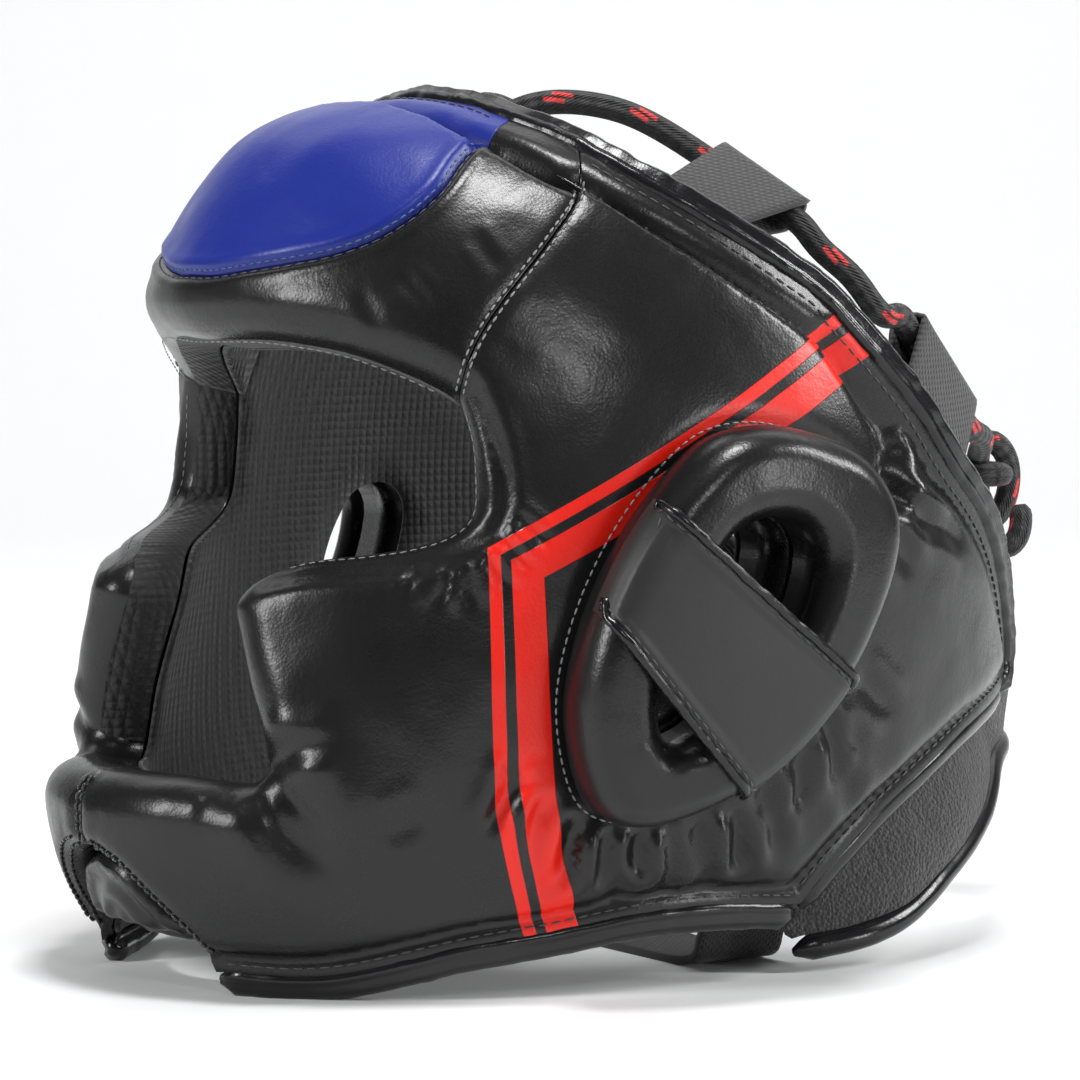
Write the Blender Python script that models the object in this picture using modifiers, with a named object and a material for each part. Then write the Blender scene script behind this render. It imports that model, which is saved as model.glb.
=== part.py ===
"""A full-face boxing headgear, laced over the crown and closed at the nape.

The padded shell is cut like the real one. Each leather panel has an outline in turn and rise:
turn is the angle in degrees round the head, from 0 at the nose to 90 at the wearer's left ear and
180 at the nape, and rise is the share of the way from the rim up to the crown. The wrap is the
shell's outer surface, and a depth in millimetres is measured out from it. The wearer looks
along -Y and the wearer's left is +X. Sizes are in millimetres.
"""

import math

import bmesh
import bpy
import numpy as np
from mathutils import Vector
from mathutils.geometry import delaunay_2d_cdt

MM = 0.001

# The padded shell
HEIGHT = 224.0
PROFILE = 270.0
FRONT_REACH = 142.0
BACK_REACH = 128.0
HALF_WIDTH = 105.0
WALL_FRONT = 22.0
WALL_BACK = 12.0
FLANGE = 3.0
EDGE_DEPTH = 4.5
LIFT_WIDTH = 20.0
FLAP_WIDTH = 11.0
FRONT_FLAP_WIDTH = 16.0
SEAM_GAP = 0.25
SEAM_SHARE = 0.82
GUSSET_SHARE = 0.55
VALLEY_DEPTH = 8.0
FOLD_DEPTH = 3.5
GUSSET_DEPTH = 9.0
# The ear pads and their straps
EAR_RISE = 17.0
EAR_SHOULDER = 9.0
EAR_SLOPE = 13.0
EAR_GAP = 0.9
STRAP_THICKNESS = 2.0
STRAP_GAP = 1.8
# The lining
LINING = 1.6
LINING_GAP = 1.1
# Edges, webbing and lace
BINDING_RADIUS = 3.2
BINDING_GAP = 0.4
WEBBING = 1.3
LACE_RADIUS = 3.2
LACE_GAP = 0.9
LACE_DEPTH = 13.3
WEBBING_DEPTH = 12.4
# The nape and chin straps
NAPE_THICKNESS = 2.5
NAPE_GAP = 0.6
NAPE_DEPTH = 13.2
NAPE_FLARE = 4.0
NAPE_FLARE_WIDTH = 34.0
CHIN_STRAP_WIDTH = 26.0
CHIN_STRAP_THICKNESS = 2.4

# How fine the meshes are
PAD_STEP = 11.0
SKIN_STEP = 17.0
EDGE_STEP = 8.0
EDGE_RINGS = (3.0, 9.0)

# Sections of the wrap, as shares: rise, height, front reach, back reach, half width
SECTIONS = [
    (0.000, 0.000, 0.905, 0.781, 0.819),
    (0.074, 0.089, 0.978, 0.852, 0.876),
    (0.167, 0.201, 1.010, 0.960, 0.933),
    (0.259, 0.312, 0.965, 1.010, 0.971),
    (0.333, 0.402, 0.915, 1.000, 0.990),
    (0.444, 0.536, 0.852, 1.000, 1.000),
    (0.556, 0.670, 0.822, 0.977, 0.962),
    (0.648, 0.781, 0.782, 0.906, 0.886),
    (0.730, 0.871, 0.715, 0.805, 0.771),
    (0.815, 0.942, 0.628, 0.648, 0.590),
    (0.907, 0.982, 0.493, 0.445, 0.371),
    (1.000, 1.000, 0.282, 0.219, 0.143),
]

# Runs of the cut edges on the left half: turn in degrees, rise as a share
FOREHEAD_SEAM = [(69.5, 0.806), (66.5, 0.742), (61.5, 0.694), (55.5, 0.643), (51, 0.598), (48, 0.548)]
EYE_EDGE = [(48, 0.548), (49.5, 0.509), (50, 0.472), (50, 0.441), (47.5, 0.424), (43, 0.414),
            (37, 0.408), (29.5, 0.403), (24, 0.394)]
CHEEK_EDGE = [(24, 0.394), (20, 0.378), (18.5, 0.357), (20.5, 0.333), (25.5, 0.281),
              (29.5, 0.237), (31, 0.213)]
CHIN_EDGE = [(31, 0.213), (29, 0.198), (23.5, 0.202), (15, 0.208), (7, 0.209), (0, 0.209)]
CHIN_SEAM = [(0, 0.209), (0, 0.165), (0, 0.124)]
GUSSET_SEAM = [(0, 0.124), (7.5, 0.110), (13, 0.080), (17.5, 0.048), (20, 0.027), (21, 0.013)]
JAW_EDGE = [(21, 0.013), (38.5, 0.014), (57, 0.043), (66.5, 0.054), (76, 0.067), (85.5, 0.070),
            (98.5, 0.063)]
NAPE_EDGE = [(98.5, 0.063), (105, 0.113), (113, 0.161), (127, 0.213), (145, 0.243)]
REAR_EDGE = [(145, 0.243), (147, 0.272), (142, 0.330), (131, 0.404), (119, 0.473), (112.5, 0.530),
             (105, 0.590), (99, 0.640)]
TEMPLE_EDGE = [(99, 0.640), (92, 0.677), (84.5, 0.716), (76, 0.763), (69.5, 0.806)]
BLUE_SEAM = [(0, 0.656), (7.5, 0.657), (22, 0.669), (31.5, 0.683), (39, 0.707), (45, 0.743),
             (48.5, 0.781), (53, 0.820), (59, 0.872)]
BROW_EDGE = [(48, 0.548), (45, 0.560), (39.5, 0.575), (32, 0.590), (24, 0.598), (14.5, 0.602),
             (0, 0.600)]
FRONT_EDGE = [(59, 0.872), (50, 0.922), (29, 0.970), (0, 0.988)]
FRONT_CORNER = [(69.5, 0.806), (64.5, 0.840), (59, 0.872)]
GUSSET_EDGE = [(19.5, 0.018), (10, 0.017), (0, 0.017)]
GUSSET_SIDE = [(21, 0.013), (19.5, 0.018)]

# The ear pad's outline and hole, and the strap's corners
EAR_PAD = [(86, 0.517), (78.5, 0.507), (72, 0.463), (67.5, 0.409), (65, 0.346), (64.5, 0.283),
           (66, 0.228), (69, 0.178), (73.5, 0.160), (80, 0.165), (86.5, 0.190), (93, 0.240),
           (99, 0.305), (102, 0.389), (101.5, 0.437), (98.5, 0.478), (94, 0.502)]
EAR_HOLE = [(78, 0.400), (80.5, 0.425), (84.5, 0.436), (88.5, 0.430), (90.5, 0.404), (89.5, 0.361),
            (87, 0.322), (81.5, 0.278), (78, 0.250), (75.5, 0.240), (74, 0.249), (73.5, 0.281),
            (74.5, 0.330), (76, 0.370)]
EAR_STRAP = [(70.5, 0.446), (67.2, 0.368), (85.5, 0.222), (95.5, 0.298)]

# Webbing loops on the left half: where each crosses the cut edge, and where it folds
WEBBING_LOOPS = [
    ("crown_webbing", [(86.5, 0.702), (77, 0.757)], [(110.5, 0.757), (110.5, 0.874)]),
    ("rear_webbing", [(129, 0.418), (114, 0.517)], [(148, 0.524), (127, 0.617)]),
]
# The lace's left half, x, y, z as shares of half width, back reach and height
LACE_FRONT = [(0.000, -0.232, 0.948), (0.055, -0.229, 0.950), (0.130, -0.140, 0.982),
              (0.235, 0.000, 0.980)]
LACE_MIDDLE = [(0.630, 0.266, 0.834), (0.686, 0.336, 0.788), (0.677, 0.445, 0.736)]
LACE_BACK = [(0.290, 0.920, 0.585), (0.140, 1.012, 0.566), (0.043, 1.066, 0.551),
             (0.034, 1.070, 0.531)]
BOW_LEFT = [(0.038, 1.074, 0.496), (0.057, 1.086, 0.460), (0.086, 1.109, 0.433),
            (0.105, 1.137, 0.446), (0.110, 1.146, 0.473), (0.107, 1.142, 0.493)]
BOW_RIGHT = [(-0.036, 1.078, 0.496), (-0.040, 1.109, 0.466), (-0.034, 1.156, 0.467),
             (-0.022, 1.186, 0.494), (-0.012, 1.190, 0.522), (0.000, 1.176, 0.548),
             (0.010, 1.143, 0.568), (0.019, 1.104, 0.574)]
KNOT = (0.0, 1.070, 0.531)
# The nape strap's hidden upper edge and its open lower edge, from under the left panel
NAPE_STRAP_TOP = [(97.5, 0.085), (103.5, 0.127), (111.5, 0.175), (125.5, 0.227), (143.5, 0.257),
                  (152, 0.280), (162, 0.283), (180, 0.280), (200, 0.280)]
NAPE_STRAP_BOTTOM = [(200, 0.212), (180, 0.205), (165, 0.198), (152, 0.175), (139, 0.128),
                     (128.5, 0.088), (120, 0.058), (110, 0.035), (101.5, 0.020)]
# The chin strap's left half, x as a share of the jaw's inner half width and z of the height
CHIN_STRAP = [(0.985, 0.190), (0.954, 0.100), (0.869, 0.036), (0.733, 0.0)]
CHIN_STRAP_REACH = 0.12
CHIN_STRAP_RISE = 0.158

# Dents in the side panel: kind, then the points that the dent follows
VALLEY = [(101, 0.640), (101, 0.600), (104, 0.557), (107.5, 0.500), (107, 0.455)]
CHIN_CREASE = [(32, 0.205), (35.5, 0.183), (38.5, 0.148), (41, 0.118)]
EAR_GATHERS = [(61, 0.156), (66.5, 0.117), (73.5, 0.094), (80.5, 0.094), (86, 0.117), (92, 0.141)]
GATHER_REACH = 0.045


def smoothstep(low, high, value):
    share = np.clip((value - low) / (high - low), 0.0, 1.0)
    return share * share * (3.0 - 2.0 * share)


def sections(rise):
    """Height, front reach, back reach and half width at these rises, on smooth curves."""
    table = np.array(SECTIONS)
    at = table[:, 0]
    row = np.clip(np.searchsorted(at, rise, side="right") - 1, 0, len(at) - 2)
    gap = at[row + 1] - at[row]
    t = np.clip((rise - at[row]) / gap, 0.0, 1.0)
    found = []
    for column, size in enumerate((HEIGHT, FRONT_REACH, BACK_REACH, HALF_WIDTH), 1):
        value = table[:, column]
        slope = np.gradient(value, at)
        found.append(size * (
            value[row] * (2 * t**3 - 3 * t**2 + 1)
            + slope[row] * gap * (t**3 - 2 * t**2 + t)
            + value[row + 1] * (3 * t**2 - 2 * t**3)
            + slope[row + 1] * gap * (t**3 - t**2)))
    return found


def wrap(turn, rise):
    """Points of the shell's outer surface."""
    height, front, back, half_width = sections(rise)
    angle = np.radians(turn)
    along = np.cos(angle)
    return np.stack([half_width * np.sin(angle),
                     np.where(along > 0, -front, -back) * along,
                     height], axis=-1)


def place(turn, rise, depth):
    """Points at a depth out from the wrap, and so a negative one is inside it."""
    turn, rise = np.asarray(turn, float), np.asarray(rise, float)
    across = wrap(turn + 0.5, rise) - wrap(turn - 0.5, rise)
    up = wrap(turn, rise + 0.002) - wrap(turn, rise - 0.002)
    normal = np.cross(across, up)
    normal /= np.linalg.norm(normal, axis=-1, keepdims=True)
    return wrap(turn, rise) + normal * np.asarray(depth, float)[..., None]


def wall(turn):
    """How thick the padding is here, from the wrap to the lining's side."""
    return WALL_FRONT + (WALL_BACK - WALL_FRONT) * smoothstep(85.0, 140.0, np.abs(turn))


def swell(distance, reach):
    """A stuffed edge: 0 at the seam, round, and 1 from that reach on."""
    share = np.clip(distance / reach, 0.0, 1.0)
    return np.sqrt(1.0 - (1.0 - share) ** 2)


def spline(points, closed=False):
    """A smooth line through a run's points, with one sample every few millimetres."""
    points = np.array(points, float)
    count = len(points)
    if closed:
        before, after = np.roll(points, 1, axis=0), np.roll(points, -1, axis=0)
    else:
        before = np.vstack([2 * points[0] - points[1], points[:-1]])
        after = np.vstack([points[1:], 2 * points[-1] - points[-2]])
    tangents = (after - before) / 2
    samples = []
    for i in range(count if closed else count - 1):
        a, b = points[i], points[(i + 1) % count]
        span = np.linalg.norm(wrap(a[0], a[1]) - wrap(b[0], b[1]))
        for t in np.arange(max(1, round(span / EDGE_STEP))) / max(1, round(span / EDGE_STEP)):
            samples.append(
                a * (2 * t**3 - 3 * t**2 + 1) + tangents[i] * (t**3 - 2 * t**2 + t)
                + b * (3 * t**2 - 2 * t**3) + tangents[(i + 1) % count] * (t**3 - t**2))
    if not closed:
        samples.append(points[-1])
    return np.array(samples)


def mirrored(points):
    """A run on the right half."""
    return np.array([(-turn, rise) for turn, rise in points])[::-1]


def joined(*runs):
    """One closed outline of runs that follow each other."""
    return np.vstack([run[:-1] for run in runs])


def chart(points):
    """Turn and rise as flat millimetres, near enough for laying out a mesh."""
    return np.asarray(points, float) * (math.radians(1.0) * HALF_WIDTH, PROFILE)


def from_chart(points):
    return np.asarray(points, float) / (math.radians(1.0) * HALF_WIDTH, PROFILE)


def distance_to(points, run, closed=False):
    """How far each point is from a run, in millimetres along the wrap."""
    ends = np.vstack([run, run[:1]]) if closed else run
    line, where = wrap(ends[:, 0], ends[:, 1]), wrap(points[:, 0], points[:, 1])
    a, step = line[:-1], np.diff(line, axis=0)
    t = ((where[:, None] - a) * step).sum(-1) / np.maximum((step * step).sum(-1), 1e-9)
    near = a + np.clip(t, 0.0, 1.0)[..., None] * step
    return np.linalg.norm(where[:, None] - near, axis=-1).min(axis=1)


def inside(points, outline):
    """Which of the chart's points lie inside an outline of the chart."""
    a, b = outline, np.roll(outline, -1, axis=0)
    x, y = points[:, None, 0], points[:, None, 1]
    crosses = (a[:, 1] > y) != (b[:, 1] > y)
    rise = np.where(b[:, 1] == a[:, 1], 1.0, b[:, 1] - a[:, 1])
    return (crosses & (x < (b[:, 0] - a[:, 0]) * (y - a[:, 1]) / rise + a[:, 0])).sum(1) % 2 == 1


def moved(run, amount, closed=False):
    """A run moved to its left by that many real millimetres along the wrap."""
    turn, rise = run[:, 0], run[:, 1]
    across = (wrap(turn + 0.5, rise) - wrap(turn - 0.5, rise))
    up = (wrap(turn, rise + 0.002) - wrap(turn, rise - 0.002)) / 0.004
    normal = np.cross(across, up)
    line = wrap(turn, rise)
    if closed:
        along = np.roll(line, -1, axis=0) - np.roll(line, 1, axis=0)
    else:
        along = np.gradient(line, axis=0)
    side = np.cross(normal, along)
    side *= amount / np.linalg.norm(side, axis=1, keepdims=True)
    aa, bb, ab = (across * across).sum(1), (up * up).sum(1), (across * up).sum(1)
    a, b = (across * side).sum(1), (up * side).sum(1)
    whole = aa * bb - ab * ab
    return run + np.stack([(bb * a - ab * b) / whole, (aa * b - ab * a) / whole], axis=1)


def pulled_in(outline, amount):
    """A closed outline moved inwards by that many millimetres."""
    points = chart(outline)
    after = np.roll(points, -1, axis=0)
    area = (points[:, 0] * after[:, 1] - points[:, 1] * after[:, 0]).sum()
    return moved(np.asarray(outline, float), math.copysign(amount, area * amount), closed=True)


def flat_mesh(outlines, step, extra):
    """Triangles between the outlines: chart points, outline points first, and faces."""
    rings = [chart(outline) for outline in outlines]
    low, high = rings[0].min(axis=0), rings[0].max(axis=0)
    rows = np.arange(low[1], high[1], step * math.sqrt(0.75))
    lattice = np.array([(x + (i % 2) * step / 2, y) for i, y in enumerate(rows)
                        for x in np.arange(low[0], high[0], step)])
    loose = np.vstack([chart(extra), lattice]) if len(extra) else lattice
    allowed = inside(loose, rings[0])
    for ring in rings[1:]:
        allowed &= ~inside(loose, ring)
    loose = loose[allowed]
    kept = list(np.vstack(rings))
    fixed = len(kept)
    for i, point in enumerate(loose):
        least = step * 0.6 if i >= allowed[:len(extra)].sum() else step * 0.28
        if np.linalg.norm(np.array(kept) - point, axis=1).min() > least:
            kept.append(point)
    edges, start = [], 0
    for ring in rings:
        count = len(ring)
        edges += [(start + i, start + (i + 1) % count) for i in range(count)]
        start += count
    points, _, faces, *_ = delaunay_2d_cdt([tuple(p) for p in kept], edges, [], 1, 1e-5)
    points = np.array(points)
    faces = np.array([face for face in faces if len(face) == 3])
    middle = points[faces].mean(axis=1)
    wanted = np.full(len(faces), True)
    for ring in rings[1:]:
        wanted &= ~inside(middle, ring)
    return points, faces[wanted], fixed


def new_object(name, mesh, material):
    obj = bpy.data.objects.new(name, mesh)
    obj.data.materials.append(material)
    collection.objects.link(obj)
    return obj


def panel(name, material, outlines, outer, inner, step=PAD_STEP, extra=(), back_step=SKIN_STEP):
    """A closed solid between two depths over the wrap, cut to an outline and its holes."""
    front, front_faces, fixed = flat_mesh(outlines, step, extra)
    back, back_faces, _ = flat_mesh(outlines, back_step, extra if back_step < step + 1 else ())
    front, back = from_chart(front), from_chart(back)
    top = place(front[:, 0], front[:, 1], outer(front))
    bottom = place(back[:, 0], back[:, 1], inner(back))
    mesh = bmesh.new()
    upper = [mesh.verts.new(p * MM) for p in top]
    lower = [mesh.verts.new(p * MM) for p in bottom]
    for a, b, c in front_faces:
        mesh.faces.new((upper[a], upper[b], upper[c]))
    for a, b, c in back_faces:
        mesh.faces.new((lower[c], lower[b], lower[a]))
    start = 0
    for outline in outlines:
        count = len(outline)
        for i in range(count):
            a, b = start + i, start + (i + 1) % count
            mesh.faces.new((upper[a], lower[a], lower[b], upper[b]))
        start += count
    bmesh.ops.recalc_face_normals(mesh, faces=mesh.faces)
    bmesh.ops.triangulate(mesh, faces=mesh.faces)
    data = bpy.data.meshes.new(name)
    mesh.to_mesh(data)
    mesh.free()
    data.shade_smooth()
    data.set_sharp_from_angle(angle=math.radians(50))
    return new_object(name, data, material)


def ring_points(outlines, depths):
    """Points a few millimetres inside the outlines, where a stuffed edge turns over."""
    found = []
    for depth in depths:
        for outline in outlines:
            ring = pulled_in(outline, depth)
            clear = distance_to(ring, np.asarray(outline), closed=True) > depth * 0.75
            found.append(ring[clear])
    return np.vstack(found)


def mirror_of(obj, name):
    """The same piece on the wearer's right."""
    mesh = obj.data.copy()
    for vertex in mesh.vertices:
        vertex.co.x = -vertex.co.x
    mesh.flip_normals()
    mesh.name = name
    twin = bpy.data.objects.new(name, mesh)
    for modifier in obj.modifiers:
        if modifier.type == "SOLIDIFY":
            copy = twin.modifiers.new(modifier.name, "SOLIDIFY")
            copy.thickness, copy.offset = modifier.thickness, modifier.offset
    collection.objects.link(twin)
    return twin


def sheet(name, material, grid, thickness):
    """A thin wall on a grid of points, in rows of the same length."""
    rows, columns = len(grid), len(grid[0])
    mesh = bmesh.new()
    points = [[mesh.verts.new(np.asarray(p) * MM) for p in row] for row in grid]
    for i in range(rows - 1):
        for j in range(columns - 1):
            mesh.faces.new((points[i][j], points[i][j + 1], points[i + 1][j + 1], points[i + 1][j]))
    data = bpy.data.meshes.new(name)
    mesh.to_mesh(data)
    mesh.free()
    data.shade_smooth()
    obj = new_object(name, data, material)
    solid = obj.modifiers.new("Thickness", "SOLIDIFY")
    solid.thickness = thickness * MM
    solid.offset = 0.0
    return obj


def tube(name, material, points, radius, sides_step=1):
    """A round cord or binding along a line of points."""
    curve = bpy.data.curves.new(name, "CURVE")
    curve.dimensions = "3D"
    curve.bevel_depth = radius * MM
    curve.bevel_resolution = sides_step
    curve.use_fill_caps = True
    line = curve.splines.new("POLY")
    line.points.add(len(points) - 1)
    for control, point in zip(line.points, points):
        control.co = (*(np.asarray(point) * MM), 1.0)
    obj = bpy.data.objects.new(name, curve)
    curve.materials.append(material)
    collection.objects.link(obj)
    return obj


def through(points, step, closed=False):
    """A smooth line through points in space, with samples a step apart."""
    points = np.array(points, float)
    count = len(points)
    if closed:
        tangents = (np.roll(points, -1, axis=0) - np.roll(points, 1, axis=0)) / 2
    else:
        tangents = np.gradient(points, axis=0)
    dense = []
    for i in range(count if closed else count - 1):
        a, b, j = points[i], points[(i + 1) % count], (i + 1) % count
        for t in np.linspace(0.0, 1.0, 24, endpoint=False):
            dense.append(a * (2 * t**3 - 3 * t**2 + 1) + tangents[i] * (t**3 - 2 * t**2 + t)
                         + b * (3 * t**2 - 2 * t**3) + tangents[j] * (t**3 - t**2))
    dense.append(points[0] if closed else points[-1])
    dense = np.array(dense)
    along = np.concatenate([[0.0], np.cumsum(np.linalg.norm(np.diff(dense, axis=0), axis=1))])
    at = np.linspace(0.0, along[-1], max(2, round(along[-1] / step) + 1))
    line = np.stack([np.interp(at, along, dense[:, k]) for k in range(3)], axis=1)
    return line[:-1] if closed else line


def material(name, colour, roughness, metallic=0.0):
    made = bpy.data.materials.new(name)
    made.use_nodes = True
    shader = made.node_tree.nodes["Principled BSDF"]
    shader.inputs["Base Color"].default_value = (*colour, 1.0)
    shader.inputs["Roughness"].default_value = roughness
    shader.inputs["Metallic"].default_value = metallic
    return made


# Runs shared by neighbouring panels

def shell_runs():
    """The cut edges, sampled once, so that neighbours meet along the same points."""
    names = {"forehead_seam": FOREHEAD_SEAM, "eye": EYE_EDGE, "cheek": CHEEK_EDGE,
             "chin": CHIN_EDGE, "chin_seam": CHIN_SEAM, "gusset_seam": GUSSET_SEAM,
             "jaw": JAW_EDGE, "nape": NAPE_EDGE, "rear": REAR_EDGE, "temple": TEMPLE_EDGE,
             "blue": BLUE_SEAM,
             "brow": BROW_EDGE, "front": FRONT_EDGE, "corner": FRONT_CORNER,
             "gusset_edge": GUSSET_EDGE, "gusset_side": GUSSET_SIDE}
    return {name: spline(points) for name, points in names.items()}


def lining_side(points, bound):
    """Depth of the padding's inner face, which comes out to meet each bound edge."""
    lift = np.zeros(len(points))
    for run, flap in bound:
        away = distance_to(points, run) - flap
        lift = np.maximum(lift, 1.0 - smoothstep(0.0, LIFT_WIDTH, away))
    return -wall(points[:, 0]) + (wall(points[:, 0]) - EDGE_DEPTH) * lift


def side_bound(runs):
    """The side panel's bound edges, each with the width of its thin flap."""
    return [(runs["jaw"], 0.0), (runs["nape"], 0.0), (runs["rear"], 0.0),
            (runs["temple"], FLAP_WIDTH - 6.0)]


def forehead_bound(runs):
    return [(run, FRONT_FLAP_WIDTH - 9.0) for run in (
        runs["corner"], runs["front"], mirrored(runs["front"]), mirrored(runs["corner"]))]


def stuffed(points, edges, thickness):
    """How thick a stuffed panel is. Each edge has a lip, a reach and a share left at the edge."""
    share = np.ones(len(points))
    for run, lip, reach, left in edges:
        full = swell(np.maximum(distance_to(points, run) - lip, 0.0), reach)
        share = np.minimum(share, left + (1.0 - left) * full)
    return FLANGE + (thickness - FLANGE) * share


def side_dents(points, ear_bottom):
    """How deep the side panel's valley, crease and gathers are."""
    depth = VALLEY_DEPTH * (1 - smoothstep(0, 11, distance_to(points, spline(VALLEY))))
    depth += FOLD_DEPTH * (1 - smoothstep(0, 8, distance_to(points, spline(CHIN_CREASE))))
    for fold in ear_bottom:
        depth += FOLD_DEPTH * 0.7 * (1 - smoothstep(0, 5, distance_to(points, fold)))
    return depth


def gathers():
    """Short folds that fan out below the ear pad."""
    folds = []
    for turn, rise in EAR_GATHERS:
        lean = (turn - 77.0) * 0.12
        folds.append(np.array([(turn - lean, rise + GATHER_REACH / 2),
                               (turn + lean, rise - GATHER_REACH / 2)]))
    return folds


def side_panel(runs, leather, cloth):
    """The wearer's left side: temple, cheek, jaw and half of the chin, with the ear's hole."""
    cut = joined(*(runs[name] for name in (
        "forehead_seam", "eye", "cheek", "chin", "chin_seam", "gusset_seam", "jaw", "nape",
        "rear", "temple")))
    hole = spline(EAR_HOLE, closed=True)[::-1]
    outlines = [pulled_in(cut, SEAM_GAP), hole]
    edges = [(runs["forehead_seam"], 0.0, 8.0, SEAM_SHARE), (runs["eye"], 0.0, 11.0, 0.0),
             (runs["cheek"], 0.0, 5.0, 0.0), (runs["chin"], 0.0, 13.0, 0.0),
             (runs["chin_seam"], 0.0, 6.0, SEAM_SHARE), (runs["gusset_seam"], 0.0, 9.0, GUSSET_SHARE),
             (runs["jaw"], 4.0, 11.0, 0.0), (runs["nape"], 4.0, 12.0, 0.0),
             (runs["rear"], 5.0, 13.0, 0.0), (runs["temple"], FLAP_WIDTH, 6.0, 0.0)]
    folds = gathers()

    def inner(points):
        return lining_side(points, side_bound(runs))

    def outer(points):
        base = stuffed(points, edges, wall(points[:, 0])) - wall(points[:, 0])
        lifted = inner(points) + FLANGE
        return np.maximum(base - side_dents(points, folds), lifted)

    extra = np.vstack([ring_points([cut], EDGE_RINGS), spline(VALLEY), spline(CHIN_CREASE)]
                      + folds)
    mirror_of(panel("side_panel_left", leather, outlines, outer, inner, extra=extra),
              "side_panel_right")
    mirror_of(lining("lining_left", cloth, outlines, inner), "lining_right")


def forehead_panels(runs, blue, leather, cloth):
    """The blue upper panel and the black brow roll under it, on one pad."""
    front = np.vstack([runs["front"], mirrored(runs["front"])[1:]])
    seam = np.vstack([mirrored(runs["blue"]), runs["blue"][1:]])
    brow = np.vstack([runs["brow"], mirrored(runs["brow"])[1:]])
    side = runs["forehead_seam"]
    flap = [(run, FRONT_FLAP_WIDTH, 8.0, 0.0) for run, _ in forehead_bound(runs)]
    blue_cut = joined(seam, front)
    black_cut = joined(seam[::-1], mirrored(runs["corner"]), mirrored(side)[::-1],
                       brow[::-1], side[::-1], runs["corner"])

    def inner(points):
        return lining_side(points, forehead_bound(runs))

    def blue_top(points):
        thick = stuffed(points, flap, wall(points[:, 0]))
        groove = 1.5 * (1 - swell(distance_to(points, seam), 4.0))
        return np.maximum(thick - wall(points[:, 0]) - groove, inner(points) + FLANGE)

    def black_top(points):
        edges = [(side, 0.0, 8.0, SEAM_SHARE), (mirrored(side), 0.0, 8.0, SEAM_SHARE),
                 (brow, 0.0, 12.0, 0.0)] + flap
        thick = stuffed(points, edges, wall(points[:, 0]))
        groove = 1.5 * (1 - swell(distance_to(points, seam), 4.0))
        return np.maximum(thick - wall(points[:, 0]) - groove, inner(points) + FLANGE)

    for name, finish, cut, top in (("forehead", blue, blue_cut, blue_top),
                                   ("brow", leather, black_cut, black_top)):
        outlines = [pulled_in(cut, SEAM_GAP)]
        panel(f"{name}_panel", finish, outlines, top, inner,
              extra=ring_points([cut], EDGE_RINGS))
        lining(f"{name}_lining", cloth, outlines, inner)


def chin_gusset(runs, leather):
    """The thinner piece under the chin, set back between the two side panels."""
    seam = np.vstack([mirrored(runs["gusset_seam"]), runs["gusset_seam"][1:]])
    side = runs["gusset_side"]
    edge = np.vstack([runs["gusset_edge"], mirrored(runs["gusset_edge"])[1:]])
    cut = joined(seam, side, edge, mirrored(side))

    def outer(points):
        thick = stuffed(points, [(seam, 0.0, 8.0, 0.4), (edge, 4.0, 8.0, 0.3)],
                        wall(points[:, 0]) - GUSSET_DEPTH)
        return thick - wall(points[:, 0])

    def inner(points):
        return -wall(points[:, 0])

    return panel("chin_gusset", leather, [pulled_in(cut, SEAM_GAP)], outer, inner)


def lining(name, cloth, outlines, padding_side):
    """A cloth lining behind a panel, an even gap from its padding."""

    def top(points):
        return padding_side(points) - LINING_GAP

    def bottom(points):
        return padding_side(points) - LINING_GAP - LINING

    return panel(name, cloth, outlines, top, bottom, step=SKIN_STEP)


def ear_pad(leather):
    """A stuffed ring over the ear, standing proud of the side panel."""
    rim = spline(EAR_PAD, closed=True)
    hole = spline(EAR_HOLE, closed=True)[::-1]

    def outer(points):
        share = swell(distance_to(points, rim, closed=True), EAR_SHOULDER)
        slope = swell(distance_to(points, hole, closed=True) + 2.0, EAR_SLOPE)
        return EAR_GAP + FLANGE + (EAR_RISE - FLANGE) * share * slope

    def inner(points):
        return np.full(len(points), EAR_GAP)

    return panel("ear_pad_left", leather, [rim, hole], outer, inner, step=9.5, back_step=10.0,
                 extra=ring_points([rim], (2.0, 5.5, 9.0)))


def ear_strap(leather):
    """The flat strap across the ear pad, from its front shoulder to its back rim."""
    rim = spline(EAR_PAD, closed=True)
    corners = np.array(EAR_STRAP, float)
    sides = []
    for i, corner in enumerate(corners):
        after = corners[(i + 1) % len(corners)]
        for t in np.arange(6) / 6:
            sides.append(corner + (after - corner) * t)
    outline = np.array(sides)

    def inner(points):
        away = distance_to(points, rim, closed=True)
        away = np.where(inside(chart(points), chart(rim)), away + 1.5, 0.0)
        share = np.maximum(swell(away, EAR_SHOULDER), 0.2)
        return EAR_GAP + FLANGE + (EAR_RISE - FLANGE) * share + STRAP_GAP

    def outer(points):
        return inner(points) + STRAP_THICKNESS

    return panel("ear_strap_left", leather, [outline], outer, inner, step=8.0, back_step=8.0,
                 extra=ring_points([rim], (2.0, 5.5, 9.0)))


def beside(run):
    """A binding's middle line, just off a cut edge, on the run's right."""
    line = moved(run, -BINDING_RADIUS - BINDING_GAP)
    return place(line[:, 0], line[:, 1], np.full(len(line), -EDGE_DEPTH + FLANGE / 2))


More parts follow.
